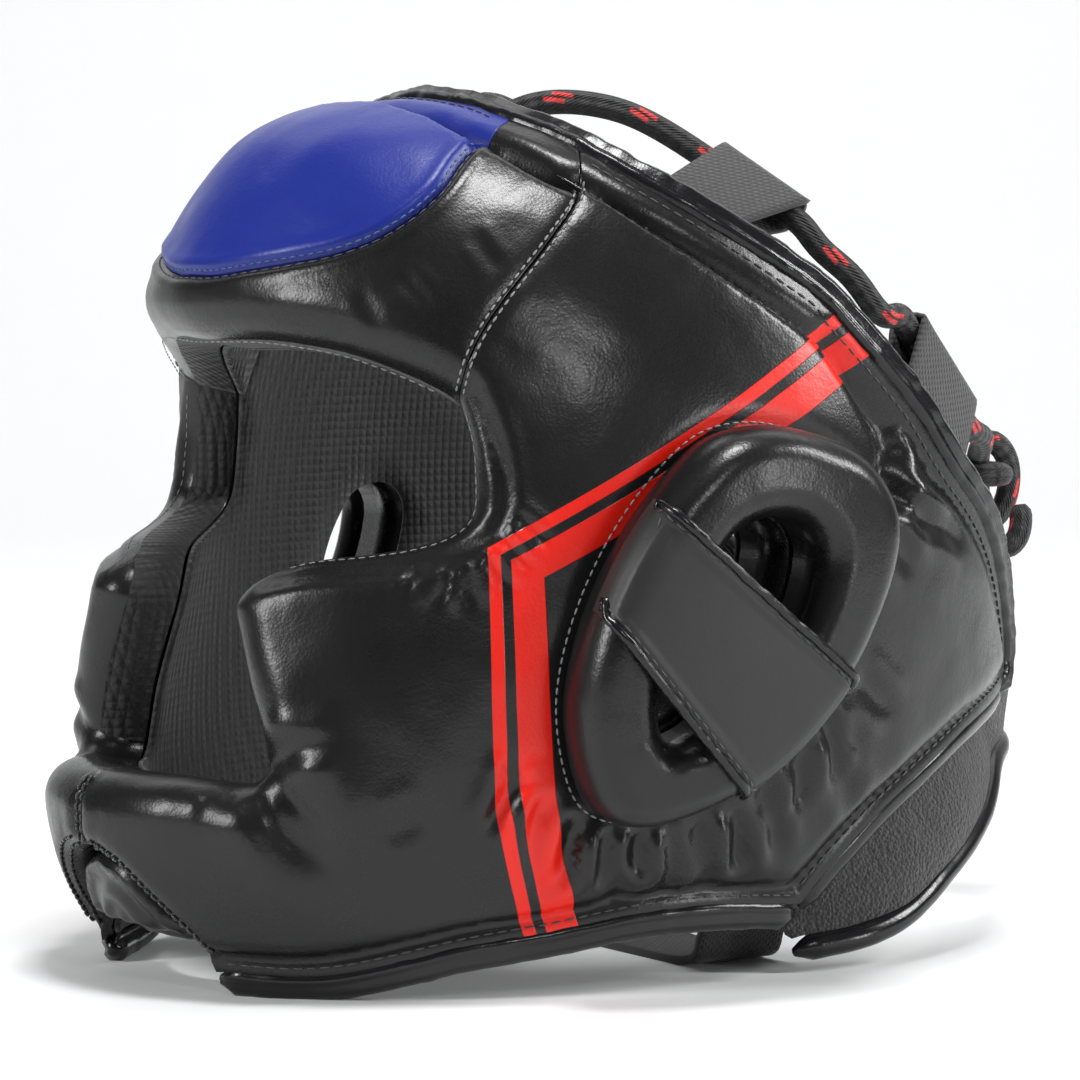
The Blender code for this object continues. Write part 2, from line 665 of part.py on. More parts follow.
def bindings(runs, leather):
    """Leather rolled over the cut edges of the crown, the jaws, the nape and the gusset."""
    crown = np.vstack([runs["rear"], runs["temple"][1:], runs["corner"][1:], runs["front"][1:]])
    half = beside(crown)
    whole = np.vstack([half, (half * (-1, 1, 1))[::-1][1:]])
    tube("crown_binding", leather, through(whole, EDGE_STEP), BINDING_RADIUS)
    jaw = beside(runs["jaw"])[1:-1]
    nape = beside(runs["nape"])[1:-1]
    for side, sign in (("left", 1), ("right", -1)):
        tube(f"jaw_binding_{side}", leather, jaw * (sign, 1, 1), BINDING_RADIUS)
        tube(f"nape_binding_{side}", leather, nape * (sign, 1, 1), BINDING_RADIUS)


def webbing(name, edge, fold, cloth):
    """A band of webbing from under a cut edge, round the lace and back."""
    edge, fold = np.array(edge, float), np.array(fold, float)
    hidden, open_side = moved(edge, 3.0), moved(edge, -8.0)
    lace = place(fold[:, 0], fold[:, 1], np.full(2, -LACE_DEPTH))
    out = place(fold[:, 0], fold[:, 1], np.full(2, 1.0 - LACE_DEPTH)) - lace
    reach = LACE_RADIUS + LACE_GAP + WEBBING / 2
    rows = [place(hidden[:, 0], hidden[:, 1], np.full(2, -WEBBING_DEPTH)),
            place(open_side[:, 0], open_side[:, 1], np.full(2, -WEBBING_DEPTH + 1.5))]
    away = lace - rows[1]
    away -= (away * out).sum(1)[:, None] * out
    away /= np.linalg.norm(away, axis=1)[:, None]
    for angle in np.radians(np.linspace(90, -90, 7)):
        rows.append(lace + reach * (math.cos(angle) * away + math.sin(angle) * out))
    rows.append(place(open_side[:, 0], open_side[:, 1], np.full(2, -WEBBING_DEPTH - 2.6)))
    rows.append(place(hidden[:, 0], hidden[:, 1], np.full(2, -WEBBING_DEPTH - 2.6)))
    grid = [[row[0] + (row[1] - row[0]) * t for t in (0.0, 0.33, 0.67, 1.0)] for row in rows]
    left = sheet(f"{name}_left", cloth, grid, WEBBING)
    mirror_of(left, f"{name}_right")
    return lace


def crown_loop(cloth, middle):
    """The short loop at the middle of the forehead that the lace runs through."""
    reach = LACE_RADIUS + LACE_GAP + WEBBING / 2
    start = place([0.0], [FRONT_EDGE[-1][1] + 0.004], [-EDGE_DEPTH - 5.0])[0]
    lower = start - np.array([0.0, 0.0, 2.6])
    rows = [start]
    for angle in np.radians(np.linspace(90, -90, 7)):
        rows.append(middle + reach * np.array([0.0, math.cos(angle), math.sin(angle)]))
    rows.append(lower)
    grid = [[row + np.array([x, 0.0, 0.0]) for x in (-3.5, 0.0, 3.5)] for row in rows]
    return sheet("crown_loop", cloth, grid, WEBBING)


def lace_points(table):
    return np.array(table) * (HALF_WIDTH, BACK_REACH, HEIGHT)


def lace(cord, folds):
    """One lace, from a bow's left end round the crown to the bow's right end."""
    crown, rear = (np.array([a + (b - a) * t for t in (-0.2, 0.0, 0.5, 1.0, 1.2)])
                   for a, b in folds)
    half = np.vstack([lace_points(LACE_FRONT), crown[::-1], lace_points(LACE_MIDDLE), rear[::-1],
                      lace_points(LACE_BACK)])
    mirrored_half = half * (-1, 1, 1)
    route = np.vstack([lace_points(BOW_LEFT)[::-1], half[::-1], mirrored_half[1:],
                       lace_points(BOW_RIGHT)])
    dense = through(route, 1.0)
    along, kept = 1e9, []
    for a, b in zip(dense[:-1], dense[1:]):
        if along >= (4.5 if abs(a[0]) < 0.13 * HALF_WIDTH else 9.5):
            kept.append(a)
            along = 0.0
        along += np.linalg.norm(b - a)
    kept.append(dense[-1])
    print("lace points", len(kept), "length", round(sum(
        np.linalg.norm(b - a) for a, b in zip(kept[:-1], kept[1:])), 1))
    tube("lace", cord, kept, LACE_RADIUS)
    middle = lace_points([KNOT])[0]
    ring = []
    for angle in np.linspace(0.0, 2 * math.pi, 16, endpoint=False):
        ring.append(middle + (11.2 * math.cos(angle), 7.6 * math.sin(angle), 0.0))
    made = tube("lace_knot", cord, ring, LACE_RADIUS)
    made.data.splines[0].use_cyclic_u = True
    made.data.use_fill_caps = False


def nape_strap(runs, pile, leather):
    """The left strap, of hook-and-loop pile, and the right one that laps over its end."""
    edge = np.vstack([runs["nape"], runs["rear"][:3]])
    cut = joined(*(runs[name] for name in (
        "forehead_seam", "eye", "cheek", "chin", "chin_seam", "gusset_seam", "jaw", "nape",
        "rear", "temple")))
    for side, finish, end, lap in (("left", pile, 191.0, 0.0), ("right", leather, 188.0, 1.0)):
        top = np.array([(min(t, end), r) for t, r in NAPE_STRAP_TOP], float)
        bottom = np.array([(min(t, end), r) for t, r in NAPE_STRAP_BOTTOM], float)
        lower = spline(bottom)
        outline = joined(spline(top), spline([top[-1], bottom[0]]), lower,
                         spline([bottom[-1], top[0]]))

        def middle(points, lap=lap):
            away = distance_to(points, edge)
            away = np.where(inside(chart(points), chart(cut)), 0.0, away)
            shift = (NAPE_DEPTH + NAPE_FLARE) * smoothstep(0.0, NAPE_FLARE_WIDTH, away)
            over = (NAPE_THICKNESS + NAPE_GAP) * smoothstep(132.0, 148.0, points[:, 0])
            return shift - NAPE_DEPTH + over * lap

        def outer(points):
            return middle(points) + NAPE_THICKNESS / 2

        def inner(points):
            return middle(points) - NAPE_THICKNESS / 2

        made = panel(f"nape_strap_{side}", finish, [outline[::-1]], outer, inner, step=12.0,
                     back_step=12.0)
        bound = lower[lower[:, 0] < (168.0 if side == "left" else 187.0)]
        line = moved(bound, BINDING_RADIUS + BINDING_GAP)
        points = place(line[:, 0], line[:, 1],
                       middle(line) + 1.9 * lap * smoothstep(138.0, 152.0, line[:, 0]))
        trim = f"nape_strap_binding_{side}"
        if side == "right":
            for vertex in made.data.vertices:
                vertex.co.x = -vertex.co.x
            made.data.flip_normals()
            points = points * (-1, 1, 1)
        tube(trim, leather, points, BINDING_RADIUS)


def chin_strap(cloth, floor):
    """A flat strap under the chin, from inside one jaw to inside the other."""
    jaw = wrap(90.0, CHIN_STRAP_RISE)[0] - wall(90.0) - LINING_GAP - LINING
    left = [(x * jaw, z * HEIGHT + floor + CHIN_STRAP_THICKNESS / 2) for x, z in CHIN_STRAP]
    path = left + [(0.0, left[-1][1])] + [(-x, z) for x, z in left[::-1]]
    line = through([(x, 0.0, z) for x, z in path], 9.0)
    middle = CHIN_STRAP_REACH * BACK_REACH
    grid = [[point + (0.0, middle + y, 0.0) for y in (
        -CHIN_STRAP_WIDTH / 2, 0.0, CHIN_STRAP_WIDTH / 2)] for point in line]
    return sheet("chin_strap", cloth, grid, CHIN_STRAP_THICKNESS)


def corners_of(names):
    """The box round these pieces, with their modifiers and bevels."""
    bpy.context.view_layer.update()
    graph = bpy.context.evaluated_depsgraph_get()
    found = []
    for obj in collection.objects:
        if obj.name in names:
            mesh = obj.evaluated_get(graph).to_mesh()
            found += [vertex.co.copy() for vertex in mesh.vertices]
    found = np.array(found)
    return found.min(axis=0), found.max(axis=0)


def main():
    runs = shell_runs()
    black = material("black_leather", (0.012, 0.012, 0.013), 0.38)
    blue = material("blue_leather", (0.010, 0.030, 0.220), 0.40)
    cloth = material("mesh_lining", (0.010, 0.010, 0.011), 0.75)
    web = material("black_webbing", (0.014, 0.014, 0.014), 0.80)
    cord = material("lace_braid", (0.012, 0.012, 0.012), 0.75)
    pile = material("black_pile", (0.010, 0.010, 0.010), 0.95)
    side_panel(runs, black, cloth)
    forehead_panels(runs, blue, black, cloth)
    chin_gusset(runs, black)
    mirror_of(ear_pad(black), "ear_pad_right")
    mirror_of(ear_strap(black), "ear_strap_right")
    bindings(runs, black)
    nape_strap(runs, pile, black)
    folds = [webbing(name, edge, fold, web) for name, edge, fold in WEBBING_LOOPS]
    crown_loop(web, lace_points(LACE_FRONT)[0])
    lace(cord, folds)
    shell = [obj.name for obj in collection.objects if not obj.name.startswith("lace")]
    low, high = corners_of(shell)
    chin_strap(web, low[2] / MM)
    shift = np.array([(low[0] + high[0]) / 2, (low[1] + high[1]) / 2, low[2]])
    for obj in collection.objects:
        data = obj.data
        if obj.type == "MESH":
            for vertex in data.vertices:
                vertex.co = vertex.co - Vector(shift)
        else:
            for point in data.splines[0].points:
                point.co = point.co - Vector((*shift, 0.0))
    print("Centred by", [round(float(v), 6) for v in shift])


for old in list(bpy.data.objects):
    bpy.data.objects.remove(old)
collection = bpy.data.collections.new("boxing_headgear")
bpy.context.scene.collection.children.link(collection)
main()
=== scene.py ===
"""Boxing headgear: leather, padding, lining, bindings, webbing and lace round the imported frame.

The leather is laid out like the real pattern, in turn and rise: turn is the angle round the head in
degrees, from 0 at the nose to 90 at the wearer's left ear, and rise the share of the way up from
the rim to the crown. A depth is measured in millimetres out from the wrap, the outer surface.
"""
import math

import bmesh
import bpy
import numpy as np
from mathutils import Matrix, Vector, noise
from mathutils.geometry import delaunay_2d_cdt


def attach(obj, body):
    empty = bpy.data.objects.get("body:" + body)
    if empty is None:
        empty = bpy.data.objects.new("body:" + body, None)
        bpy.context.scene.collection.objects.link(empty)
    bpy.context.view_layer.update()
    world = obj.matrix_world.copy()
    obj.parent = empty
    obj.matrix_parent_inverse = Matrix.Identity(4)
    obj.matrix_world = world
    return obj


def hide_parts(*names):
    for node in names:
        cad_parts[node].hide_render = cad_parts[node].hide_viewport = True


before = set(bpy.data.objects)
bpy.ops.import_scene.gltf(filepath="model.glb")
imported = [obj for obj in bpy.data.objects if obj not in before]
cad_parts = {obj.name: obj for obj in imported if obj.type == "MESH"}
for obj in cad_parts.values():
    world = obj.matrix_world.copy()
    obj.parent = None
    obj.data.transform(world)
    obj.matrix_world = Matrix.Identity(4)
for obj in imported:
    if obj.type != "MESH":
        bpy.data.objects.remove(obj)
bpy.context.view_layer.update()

MM = 0.001
CENTRED = np.array([0.0, -2.571, -1.596])
HEIGHT, PROFILE = 224.0, 270.0
PATTERN = (2.2, PROFILE)
FRONT_REACH, BACK_REACH, HALF_WIDTH = 142.0, 128.0, 105.0
WALL_FRONT, WALL_BACK = 22.0, 12.0
FLANGE, EDGE_DEPTH, LIFT_WIDTH = 3.0, 4.5, 20.0
FLAP_WIDTH, FRONT_FLAP_WIDTH = 11.0, 16.0
SEAM_GAP = 0.15
GUSSET_DEPTH, GUSSET_BACK = 9.0, 0.55
PLEAT_DEPTH, PLEAT_PITCH, PLEAT_FADE = 1.3, 9.5, 16.0
EAR_RISE, EAR_SHOULDER, EAR_SLOPE, EAR_GAP = 17.0, 9.0, 7.5, 0.9
LINING, LINING_GAP = 1.6, 0.9
LACE_RADIUS, LACE_DEPTH, LACE_GAP = 3.2, 13.3, 0.9
WEBBING, WEBBING_DEPTH = 1.3, 12.4
NAPE_THICKNESS, NAPE_GAP, NAPE_DEPTH = 2.5, 0.6, 13.2
NAPE_FLARE, NAPE_FLARE_WIDTH = 4.0, 34.0

# Sections of the wrap, as shares: rise, height, front reach, back reach, half width
SECTIONS = [
    (0.000, 0.000, 0.905, 0.781, 0.819), (0.074, 0.089, 0.978, 0.852, 0.876),
    (0.167, 0.201, 1.010, 0.960, 0.933), (0.259, 0.312, 0.965, 1.010, 0.971),
    (0.333, 0.402, 0.915, 1.000, 0.990), (0.444, 0.536, 0.852, 1.000, 1.000),
    (0.556, 0.670, 0.822, 0.977, 0.962), (0.648, 0.781, 0.782, 0.906, 0.886),
    (0.730, 0.871, 0.715, 0.805, 0.771), (0.815, 0.942, 0.628, 0.648, 0.590),
    (0.907, 0.982, 0.493, 0.445, 0.371), (1.000, 1.000, 0.282, 0.219, 0.143),
]

# Runs of the cut edges on the left half: turn in degrees, rise as a share
RUNS = {
    "forehead_seam": [(69.5, 0.806), (66.5, 0.742), (61.5, 0.694), (55.5, 0.643), (51, 0.598),
                      (48, 0.548)],
    "eye": [(48, 0.548), (49.5, 0.509), (50, 0.472), (50, 0.441), (47.5, 0.424), (43, 0.414),
            (37, 0.408), (29.5, 0.403), (24, 0.394)],
    "cheek": [(24, 0.394), (20, 0.378), (18.5, 0.357), (20.5, 0.333), (25.5, 0.281),
              (29.5, 0.237), (31, 0.213)],
    "chin": [(31, 0.213), (29, 0.198), (23.5, 0.202), (15, 0.208), (7, 0.209), (0, 0.209)],
    "chin_seam": [(0, 0.209), (0, 0.165), (0, 0.124)],
    "gusset_seam": [(0, 0.124), (7.5, 0.110), (13, 0.080), (17.5, 0.048), (20, 0.027),
                    (21, 0.013)],
    "jaw": [(21, 0.013), (38.5, 0.014), (57, 0.043), (66.5, 0.054), (76, 0.067), (85.5, 0.070),
            (98.5, 0.063)],
    "nape": [(98.5, 0.063), (105, 0.113), (113, 0.161), (127, 0.213), (145, 0.243)],
    "rear": [(145, 0.243), (147, 0.272), (142, 0.330), (131, 0.404), (119, 0.473), (112.5, 0.530),
             (105, 0.590), (99, 0.640)],
    "temple": [(99, 0.640), (92, 0.677), (84.5, 0.716), (76, 0.763), (69.5, 0.806)],
    "blue": [(0, 0.656), (7.5, 0.657), (22, 0.669), (31.5, 0.683), (39, 0.707), (45, 0.743),
             (48.5, 0.781), (53, 0.820), (59, 0.872)],
    "brow": [(48, 0.548), (45, 0.560), (39.5, 0.575), (32, 0.590), (24, 0.598), (14.5, 0.602),
             (0, 0.600)],
    "front": [(59, 0.872), (50, 0.922), (29, 0.970), (0, 0.988)],
    "corner": [(69.5, 0.806), (64.5, 0.840), (59, 0.872)],
    "gusset_edge": [(19.5, 0.018), (10, 0.017), (0, 0.017)],
    "gusset_side": [(21, 0.013), (19.5, 0.018)],
}
EAR_PAD = [(86, 0.517), (78.5, 0.507), (72, 0.463), (67.5, 0.409), (65, 0.346), (64.5, 0.283),
           (66, 0.228), (69, 0.178), (73.5, 0.162), (79.5, 0.173), (85.5, 0.201), (91.5, 0.249),
           (97.3, 0.312), (101.2, 0.389), (101.5, 0.437), (98.5, 0.478), (94, 0.502)]
EAR_HOLE = [(78, 0.400), (80.5, 0.425), (84.5, 0.436), (88.5, 0.430), (90.5, 0.404), (89.5, 0.361),
            (87, 0.322), (81.5, 0.278), (78, 0.250), (75.5, 0.240), (74, 0.249), (73.5, 0.281),
            (74.5, 0.330), (76, 0.370)]
HOLE_LOW_END = (75.5, 0.243)
EAR_STRAP = [(68.8, 0.464), (64.8, 0.360), (83.5, 0.190), (94.5, 0.290)]
WEBBING_LOOPS = [
    ("crown_webbing", [(86.5, 0.702), (77, 0.757)], [(110.5, 0.757), (110.5, 0.874)]),
    ("rear_webbing", [(129, 0.418), (114, 0.517)], [(148, 0.524), (127, 0.617)]),
]
LACE_FRONT = [(0.000, -0.232, 0.948), (0.055, -0.229, 0.950), (0.130, -0.140, 0.982),
              (0.235, 0.000, 0.980)]
LACE_MIDDLE = [(0.630, 0.266, 0.834), (0.686, 0.336, 0.788), (0.677, 0.445, 0.736)]
LACE_BACK = [(0.290, 0.920, 0.585), (0.140, 1.012, 0.566), (0.043, 1.066, 0.551),
             (0.034, 1.070, 0.531)]
BOW_LEFT = [(0.038, 1.074, 0.496), (0.057, 1.086, 0.460), (0.086, 1.109, 0.433),
            (0.105, 1.137, 0.446), (0.110, 1.146, 0.473), (0.107, 1.142, 0.493)]
BOW_RIGHT = [(-0.036, 1.078, 0.496), (-0.040, 1.109, 0.466), (-0.034, 1.156, 0.467),
             (-0.022, 1.186, 0.494), (-0.012, 1.190, 0.522), (0.000, 1.176, 0.548),
             (0.010, 1.143, 0.568), (0.019, 1.104, 0.574)]
KNOT = (0.0, 1.070, 0.531)
NAPE_STRAP_TOP = [(97.5, 0.085), (103.5, 0.127), (111.5, 0.175), (125.5, 0.227), (143.5, 0.257),
                  (152, 0.280), (162, 0.283), (180, 0.280), (200, 0.280)]
NAPE_STRAP_BOTTOM = [(200, 0.212), (180, 0.205), (165, 0.198), (152, 0.175), (139, 0.128),
                     (128.5, 0.088), (120, 0.058), (110, 0.035), (101.5, 0.020)]
CHIN_STRAP = [(0.985, 0.190), (0.954, 0.100), (0.869, 0.036), (0.733, 0.0)]

# Dents and folds of the left side: start, end, depth, width
VALLEY_DEPTH, VALLEY_WIDTH = 7.5, 10.0
VALLEY = [(101, 0.640), (101, 0.600), (104, 0.557), (107.5, 0.500), (107, 0.455)]
EYE_CREASE = [(50, 0.556), (51.8, 0.530), (53.5, 0.495), (54.5, 0.463), (54, 0.430), (50, 0.408),
              (45, 0.397), (37.5, 0.391), (29.5, 0.385), (24, 0.378)]
WRINKLES = [
    ((53.5, 0.425), (58, 0.385), 1.0, 1.6), ((53, 0.412), (56, 0.365), 1.1, 1.7),
    ((51, 0.403), (52.5, 0.350), 0.9, 1.5), ((48.5, 0.398), (48.5, 0.352), 0.8, 1.5),
    ((55, 0.440), (61, 0.412), 0.7, 1.6), ((45, 0.392), (44, 0.360), 0.6, 1.4),
    ((108, 0.505), (117, 0.468), 1.1, 2.8), ((109, 0.480), (120, 0.438), 1.1, 2.7),
    ((106, 0.457), (117, 0.403), 1.1, 2.8), ((110, 0.432), (122, 0.383), 1.0, 2.6),
    ((104, 0.430), (110, 0.365), 0.9, 3.0), ((113, 0.505), (119, 0.455), 0.6, 2.2),
    ((30, 0.216), (44, 0.108), 2.8, 6.5), ((31.5, 0.200), (39, 0.128), 0.5, 1.5),
    ((34, 0.198), (42, 0.140), 0.45, 1.5), ((29, 0.190), (34, 0.132), 0.4, 1.5),
    ((24, 0.195), (25.5, 0.165), 0.5, 1.8),
    ((101, 0.290), (109, 0.240), 1.0, 3.0), ((97, 0.240), (104, 0.195), 0.9, 2.6),
    ((30, 0.214), (41, 0.244), 1.4, 3.2), ((47, 0.150), (53, 0.168), 0.8, 3.4),
    ((98, 0.200), (104, 0.150), 1.2, 3.4),
]


# Measuring on the wrap

def smoothstep(low, high, value):
    share = np.clip((value - low) / (high - low), 0.0, 1.0)
    return share * share * (3.0 - 2.0 * share)


def hermite(t):
    """Weights of a span's start, its slope there, its end, and its slope there."""
    return 2 * t**3 - 3 * t**2 + 1, t**3 - 2 * t**2 + t, 3 * t**2 - 2 * t**3, t**3 - t**2


def wrap(turn, rise):
    table = np.array(SECTIONS)
    at = table[:, 0]
    row = np.clip(np.searchsorted(at, rise, side="right") - 1, 0, len(at) - 2)
    gap = at[row + 1] - at[row]
    t = np.clip((rise - at[row]) / gap, 0.0, 1.0)
    start, leaving, end, arriving = hermite(t)
    found = []
    for column, size in enumerate((HEIGHT, FRONT_REACH, BACK_REACH, HALF_WIDTH), 1):
        value = table[:, column]
        slope = np.gradient(value, at) * size
        found.append(size * (value[row] * start + value[row + 1] * end)
                     + gap * (slope[row] * leaving + slope[row + 1] * arriving))
    height, front, back, half_width = found
    angle = np.radians(turn)
    along = np.cos(angle)
    return np.stack([half_width * np.sin(angle), np.where(along > 0, -front, -back) * along,
                     height], axis=-1)


def frame_at(turn, rise):
    turn, rise = np.asarray(turn, float), np.asarray(rise, float)
    across = wrap(turn + 0.5, rise) - wrap(turn - 0.5, rise)
    up = (wrap(turn, rise + 0.002) - wrap(turn, rise - 0.002)) / 0.004
    normal = np.cross(across, up)
    return across, up, normal / np.linalg.norm(normal, axis=-1, keepdims=True)


def normals_at(points):
    return frame_at(points[:, 0], points[:, 1])[2]


def place(points, depth):
    """Points in the row frame, in millimetres, at a depth out from the wrap."""
    points = np.asarray(points, float)
    normal = normals_at(points)
    depth = np.broadcast_to(np.asarray(depth, float), len(points))
    return wrap(points[:, 0], points[:, 1]) + normal * depth[:, None] - CENTRED


def wall(turn):
    """Thickness of the padding, thick ahead of the ears and thin behind them."""
    return WALL_FRONT + (WALL_BACK - WALL_FRONT) * smoothstep(85.0, 140.0, np.abs(turn))


def swell(distance, reach):
    """A quarter round from 0 at an edge to 1 at the reach."""
    share = np.clip(distance / reach, 0.0, 1.0)
    return np.sqrt(1.0 - (1.0 - share) ** 2)


SPAN = np.linspace(0.0, 1.0, 40, endpoint=False)


def curve_through(points, step, closed=False, measure=lambda p: wrap(p[:, 0], p[:, 1])):
    """Samples an even step apart on a smooth line through points."""
    points = np.array(points, float)
    count = len(points)
    if closed:
        tangents = (np.roll(points, -1, axis=0) - np.roll(points, 1, axis=0)) / 2
    else:
        before = np.vstack([2 * points[0] - points[1], points[:-1]])
        after = np.vstack([points[1:], 2 * points[-1] - points[-2]])
        tangents = (after - before) / 2
    start, leaving, end, arriving = hermite(SPAN[:, None])
    samples = []
    for i in range(count if closed else count - 1):
        j = (i + 1) % count
        samples.append(points[i] * start + tangents[i] * leaving
                       + points[j] * end + tangents[j] * arriving)
    dense = np.vstack(samples + [points[:1] if closed else points[-1:]])
    place3 = measure(dense)
    along = np.concatenate([[0], np.cumsum(np.linalg.norm(np.diff(place3, axis=0), axis=1))])
    at = np.linspace(0.0, along[-1], max(2, round(along[-1] / step) + 1))
    line = np.stack([np.interp(at, along, dense[:, k]) for k in range(dense.shape[1])], axis=1)
    return line[:-1] if closed else line


def in_space(points, step, closed=False):
    return curve_through(points, step, closed, measure=lambda p: p)


def mirrored(points):
    """A run on the other half, in the order that closes an outline."""
    return (np.asarray(points) * (-1, 1))[::-1]


def moved(run, amount, closed=False):
    """A run moved to its left by that many millimetres along the wrap."""
    run = np.asarray(run, float)
    across, up, normal = frame_at(run[:, 0], run[:, 1])
    line = wrap(run[:, 0], run[:, 1])
    if closed:
        along = np.roll(line, -1, axis=0) - np.roll(line, 1, axis=0)
    else:
        along = np.gradient(line, axis=0)
    side = np.cross(normal, along)
    side *= amount / np.linalg.norm(side, axis=1, keepdims=True)
    aa, bb, ab = (across * across).sum(1), (up * up).sum(1), (across * up).sum(1)
    a, b = (across * side).sum(1), (up * side).sum(1)
    whole = aa * bb - ab * ab
    return run + np.stack([(bb * a - ab * b) / whole, (aa * b - ab * a) / whole], axis=1)


def chart(points):
    """Turn and rise as flat millimetres."""
    return np.asarray(points, float) * (math.radians(1.0) * HALF_WIDTH, PROFILE)


def from_chart(points):
    return np.asarray(points, float) / (math.radians(1.0) * HALF_WIDTH, PROFILE)


def pulled_in(outline, amount):
    points = chart(outline)
    after = np.roll(points, -1, axis=0)
    area = (points[:, 0] * after[:, 1] - points[:, 1] * after[:, 0]).sum()
    return moved(outline, math.copysign(amount, area * amount), closed=True)


def measure_to(points, run, closed=False):
    """Distance from each point to a run, and the distance along the run of its nearest place."""
    run = np.asarray(run, float)
    ends = np.vstack([run, run[:1]]) if closed else run
    line = wrap(ends[:, 0], ends[:, 1])
    a, step = line[:-1], np.diff(line, axis=0)
    size = np.maximum((step * step).sum(-1), 1e-9)
    start = np.concatenate([[0], np.cumsum(np.sqrt(size))])[:-1]
    where = wrap(points[:, 0], points[:, 1])
    away, along = np.empty(len(points)), np.empty(len(points))
    for i in range(0, len(points), 1500):
        w = where[i:i + 1500]
        t = np.clip(((w[:, None] - a) * step).sum(-1) / size, 0.0, 1.0)
        gap = np.linalg.norm(w[:, None] - (a + t[..., None] * step), axis=-1)
        best = gap.argmin(axis=1)
        row = np.arange(len(w))
        away[i:i + 1500] = gap[row, best]
        along[i:i + 1500] = start[best] + t[row, best] * np.sqrt(size[best])
    return away, along


def distance_to(points, run, closed=False):
    return measure_to(points, run, closed)[0]


def inside(points, outline):
    a, b = outline, np.roll(outline, -1, axis=0)
    x, y = points[:, None, 0], points[:, None, 1]
    crosses = (a[:, 1] > y) != (b[:, 1] > y)
    rise = np.where(b[:, 1] == a[:, 1], 1.0, b[:, 1] - a[:, 1])
    return (crosses & (x < (b[:, 0] - a[:, 0]) * (y - a[:, 1]) / rise + a[:, 0])).sum(1) % 2 == 1


def ripple(points, size, seed=0.0, octaves=1):
    """Smooth noise on the wrap, about -1 to 1, with features of that many millimetres."""
    where = wrap(points[:, 0], points[:, 1]) / size + seed * 7.3
    total = np.zeros(len(points))
    for k in range(octaves):
        total += np.array([noise.noise(Vector(p) * 2**k) for p in where]) / 2**k
    return total


# Meshes

def flat_mesh(outlines, step, rings):
    """Triangles between outlines, with rows of points along them."""
    lines = [chart(outline) for outline in outlines]
    low, high = lines[0].min(axis=0), lines[0].max(axis=0)
    rows = np.arange(low[1], high[1], step * math.sqrt(0.75))
    lattice = from_chart(np.array([(x + (i % 2) * step / 2, y) for i, y in enumerate(rows)
                                   for x in np.arange(low[0], high[0], step)]))
    keep = inside(chart(lattice), lines[0])
    for line in lines[1:]:
        keep &= ~inside(chart(lattice), line)
    lattice = lattice[keep]
    margin = (max(rings) if rings else 0.0) + step * 0.55
    for outline in outlines:
        lattice = lattice[distance_to(lattice, outline, closed=True) > margin]
    found = [chart(lattice)]
    for depth in rings:
        for number, outline in enumerate(outlines):
            ring = pulled_in(outline, depth if number == 0 else -depth)
            clear = np.full(len(ring), True)
            for other in outlines:
                clear &= distance_to(ring, other, closed=True) > depth * 0.8
            found.append(chart(ring[clear]))
    edges, start = [], 0
    for line in lines:
        count = len(line)
        edges += [(start + i, start + (i + 1) % count) for i in range(count)]
        start += count
    every = np.vstack(lines + found)
    points, _, faces, *_ = delaunay_2d_cdt([tuple(p) for p in every], edges, [], 1, 1e-4)
    points = np.array(points)
    faces = np.array([face for face in faces if len(face) == 3])
    middle = points[faces].mean(axis=1)
    wanted = np.full(len(faces), True)
    for line in lines[1:]:
        wanted &= ~inside(middle, line)
    return from_chart(points), faces[wanted]


def add_mesh(name, points, faces, material):
    data = bpy.data.meshes.new(name)
    data.from_pydata([tuple(p) for p in np.asarray(points) * MM], [], [tuple(f) for f in faces])
    data.validate()
    data.shade_smooth()
    obj = bpy.data.objects.new(name, data)
    data.materials.append(material)
    bpy.context.scene.collection.objects.link(obj)
    return obj


def faced_outwards(obj):
    mesh = bmesh.new()
    mesh.from_mesh(obj.data)
    bmesh.ops.recalc_face_normals(mesh, faces=mesh.faces)
    mesh.to_mesh(obj.data)
    mesh.free()
    obj.data.shade_smooth()


def store(obj, name, values):
    values = np.asarray(values, np.float32)
    kind = "FLOAT" if values.ndim == 1 else "FLOAT_VECTOR"
    attribute = obj.data.attributes.new(name, kind, "POINT")
    attribute.data.foreach_set("value" if values.ndim == 1 else "vector", values.ravel())


def panel(name, material, outlines, outer, inner, step=1.6,
          rings=(0.12, 0.45, 1.0, 1.8, 2.9, 4.3), facts=None, cloth_runs=()):
    """A closed padded piece between two depths over the wrap, with cloth on some cut sides."""
    front, front_faces = flat_mesh(outlines, step, rings)
    back, back_faces = flat_mesh(outlines, 9.0, ())
    top, bottom = place(front, outer(front)), place(back, inner(back))
    count = len(front)
    faces = [tuple(face) for face in front_faces]
    faces += [(c + count, b + count, a + count) for a, b, c in back_faces]
    start = 0
    for outline in outlines:
        size = len(outline)
        for i in range(size):
            a, b = start + i, start + (i + 1) % size
            faces.append((a, a + count, b + count, b))
        start += size
    obj = add_mesh(name, np.vstack([top, bottom]), faces, material)
    faced_outwards(obj)
    if cloth_runs:
        obj.data.materials.append(mesh_lining)
        cut = outlines[0]
        middle = (cut + np.roll(cut, -1, axis=0)) / 2
        near = np.min([distance_to(middle, run) for run in cloth_runs], axis=0) < 0.8
        first = len(front_faces) + len(back_faces)
        for i in np.flatnonzero(near):
            obj.data.polygons[first + int(i)].material_index = 1
    every = np.vstack([front, back])
    for key, value in (facts or {}).items():
        store(obj, key, value(every))
    store(obj, "pattern", np.column_stack([every * PATTERN, np.zeros(len(every))]))
    return obj


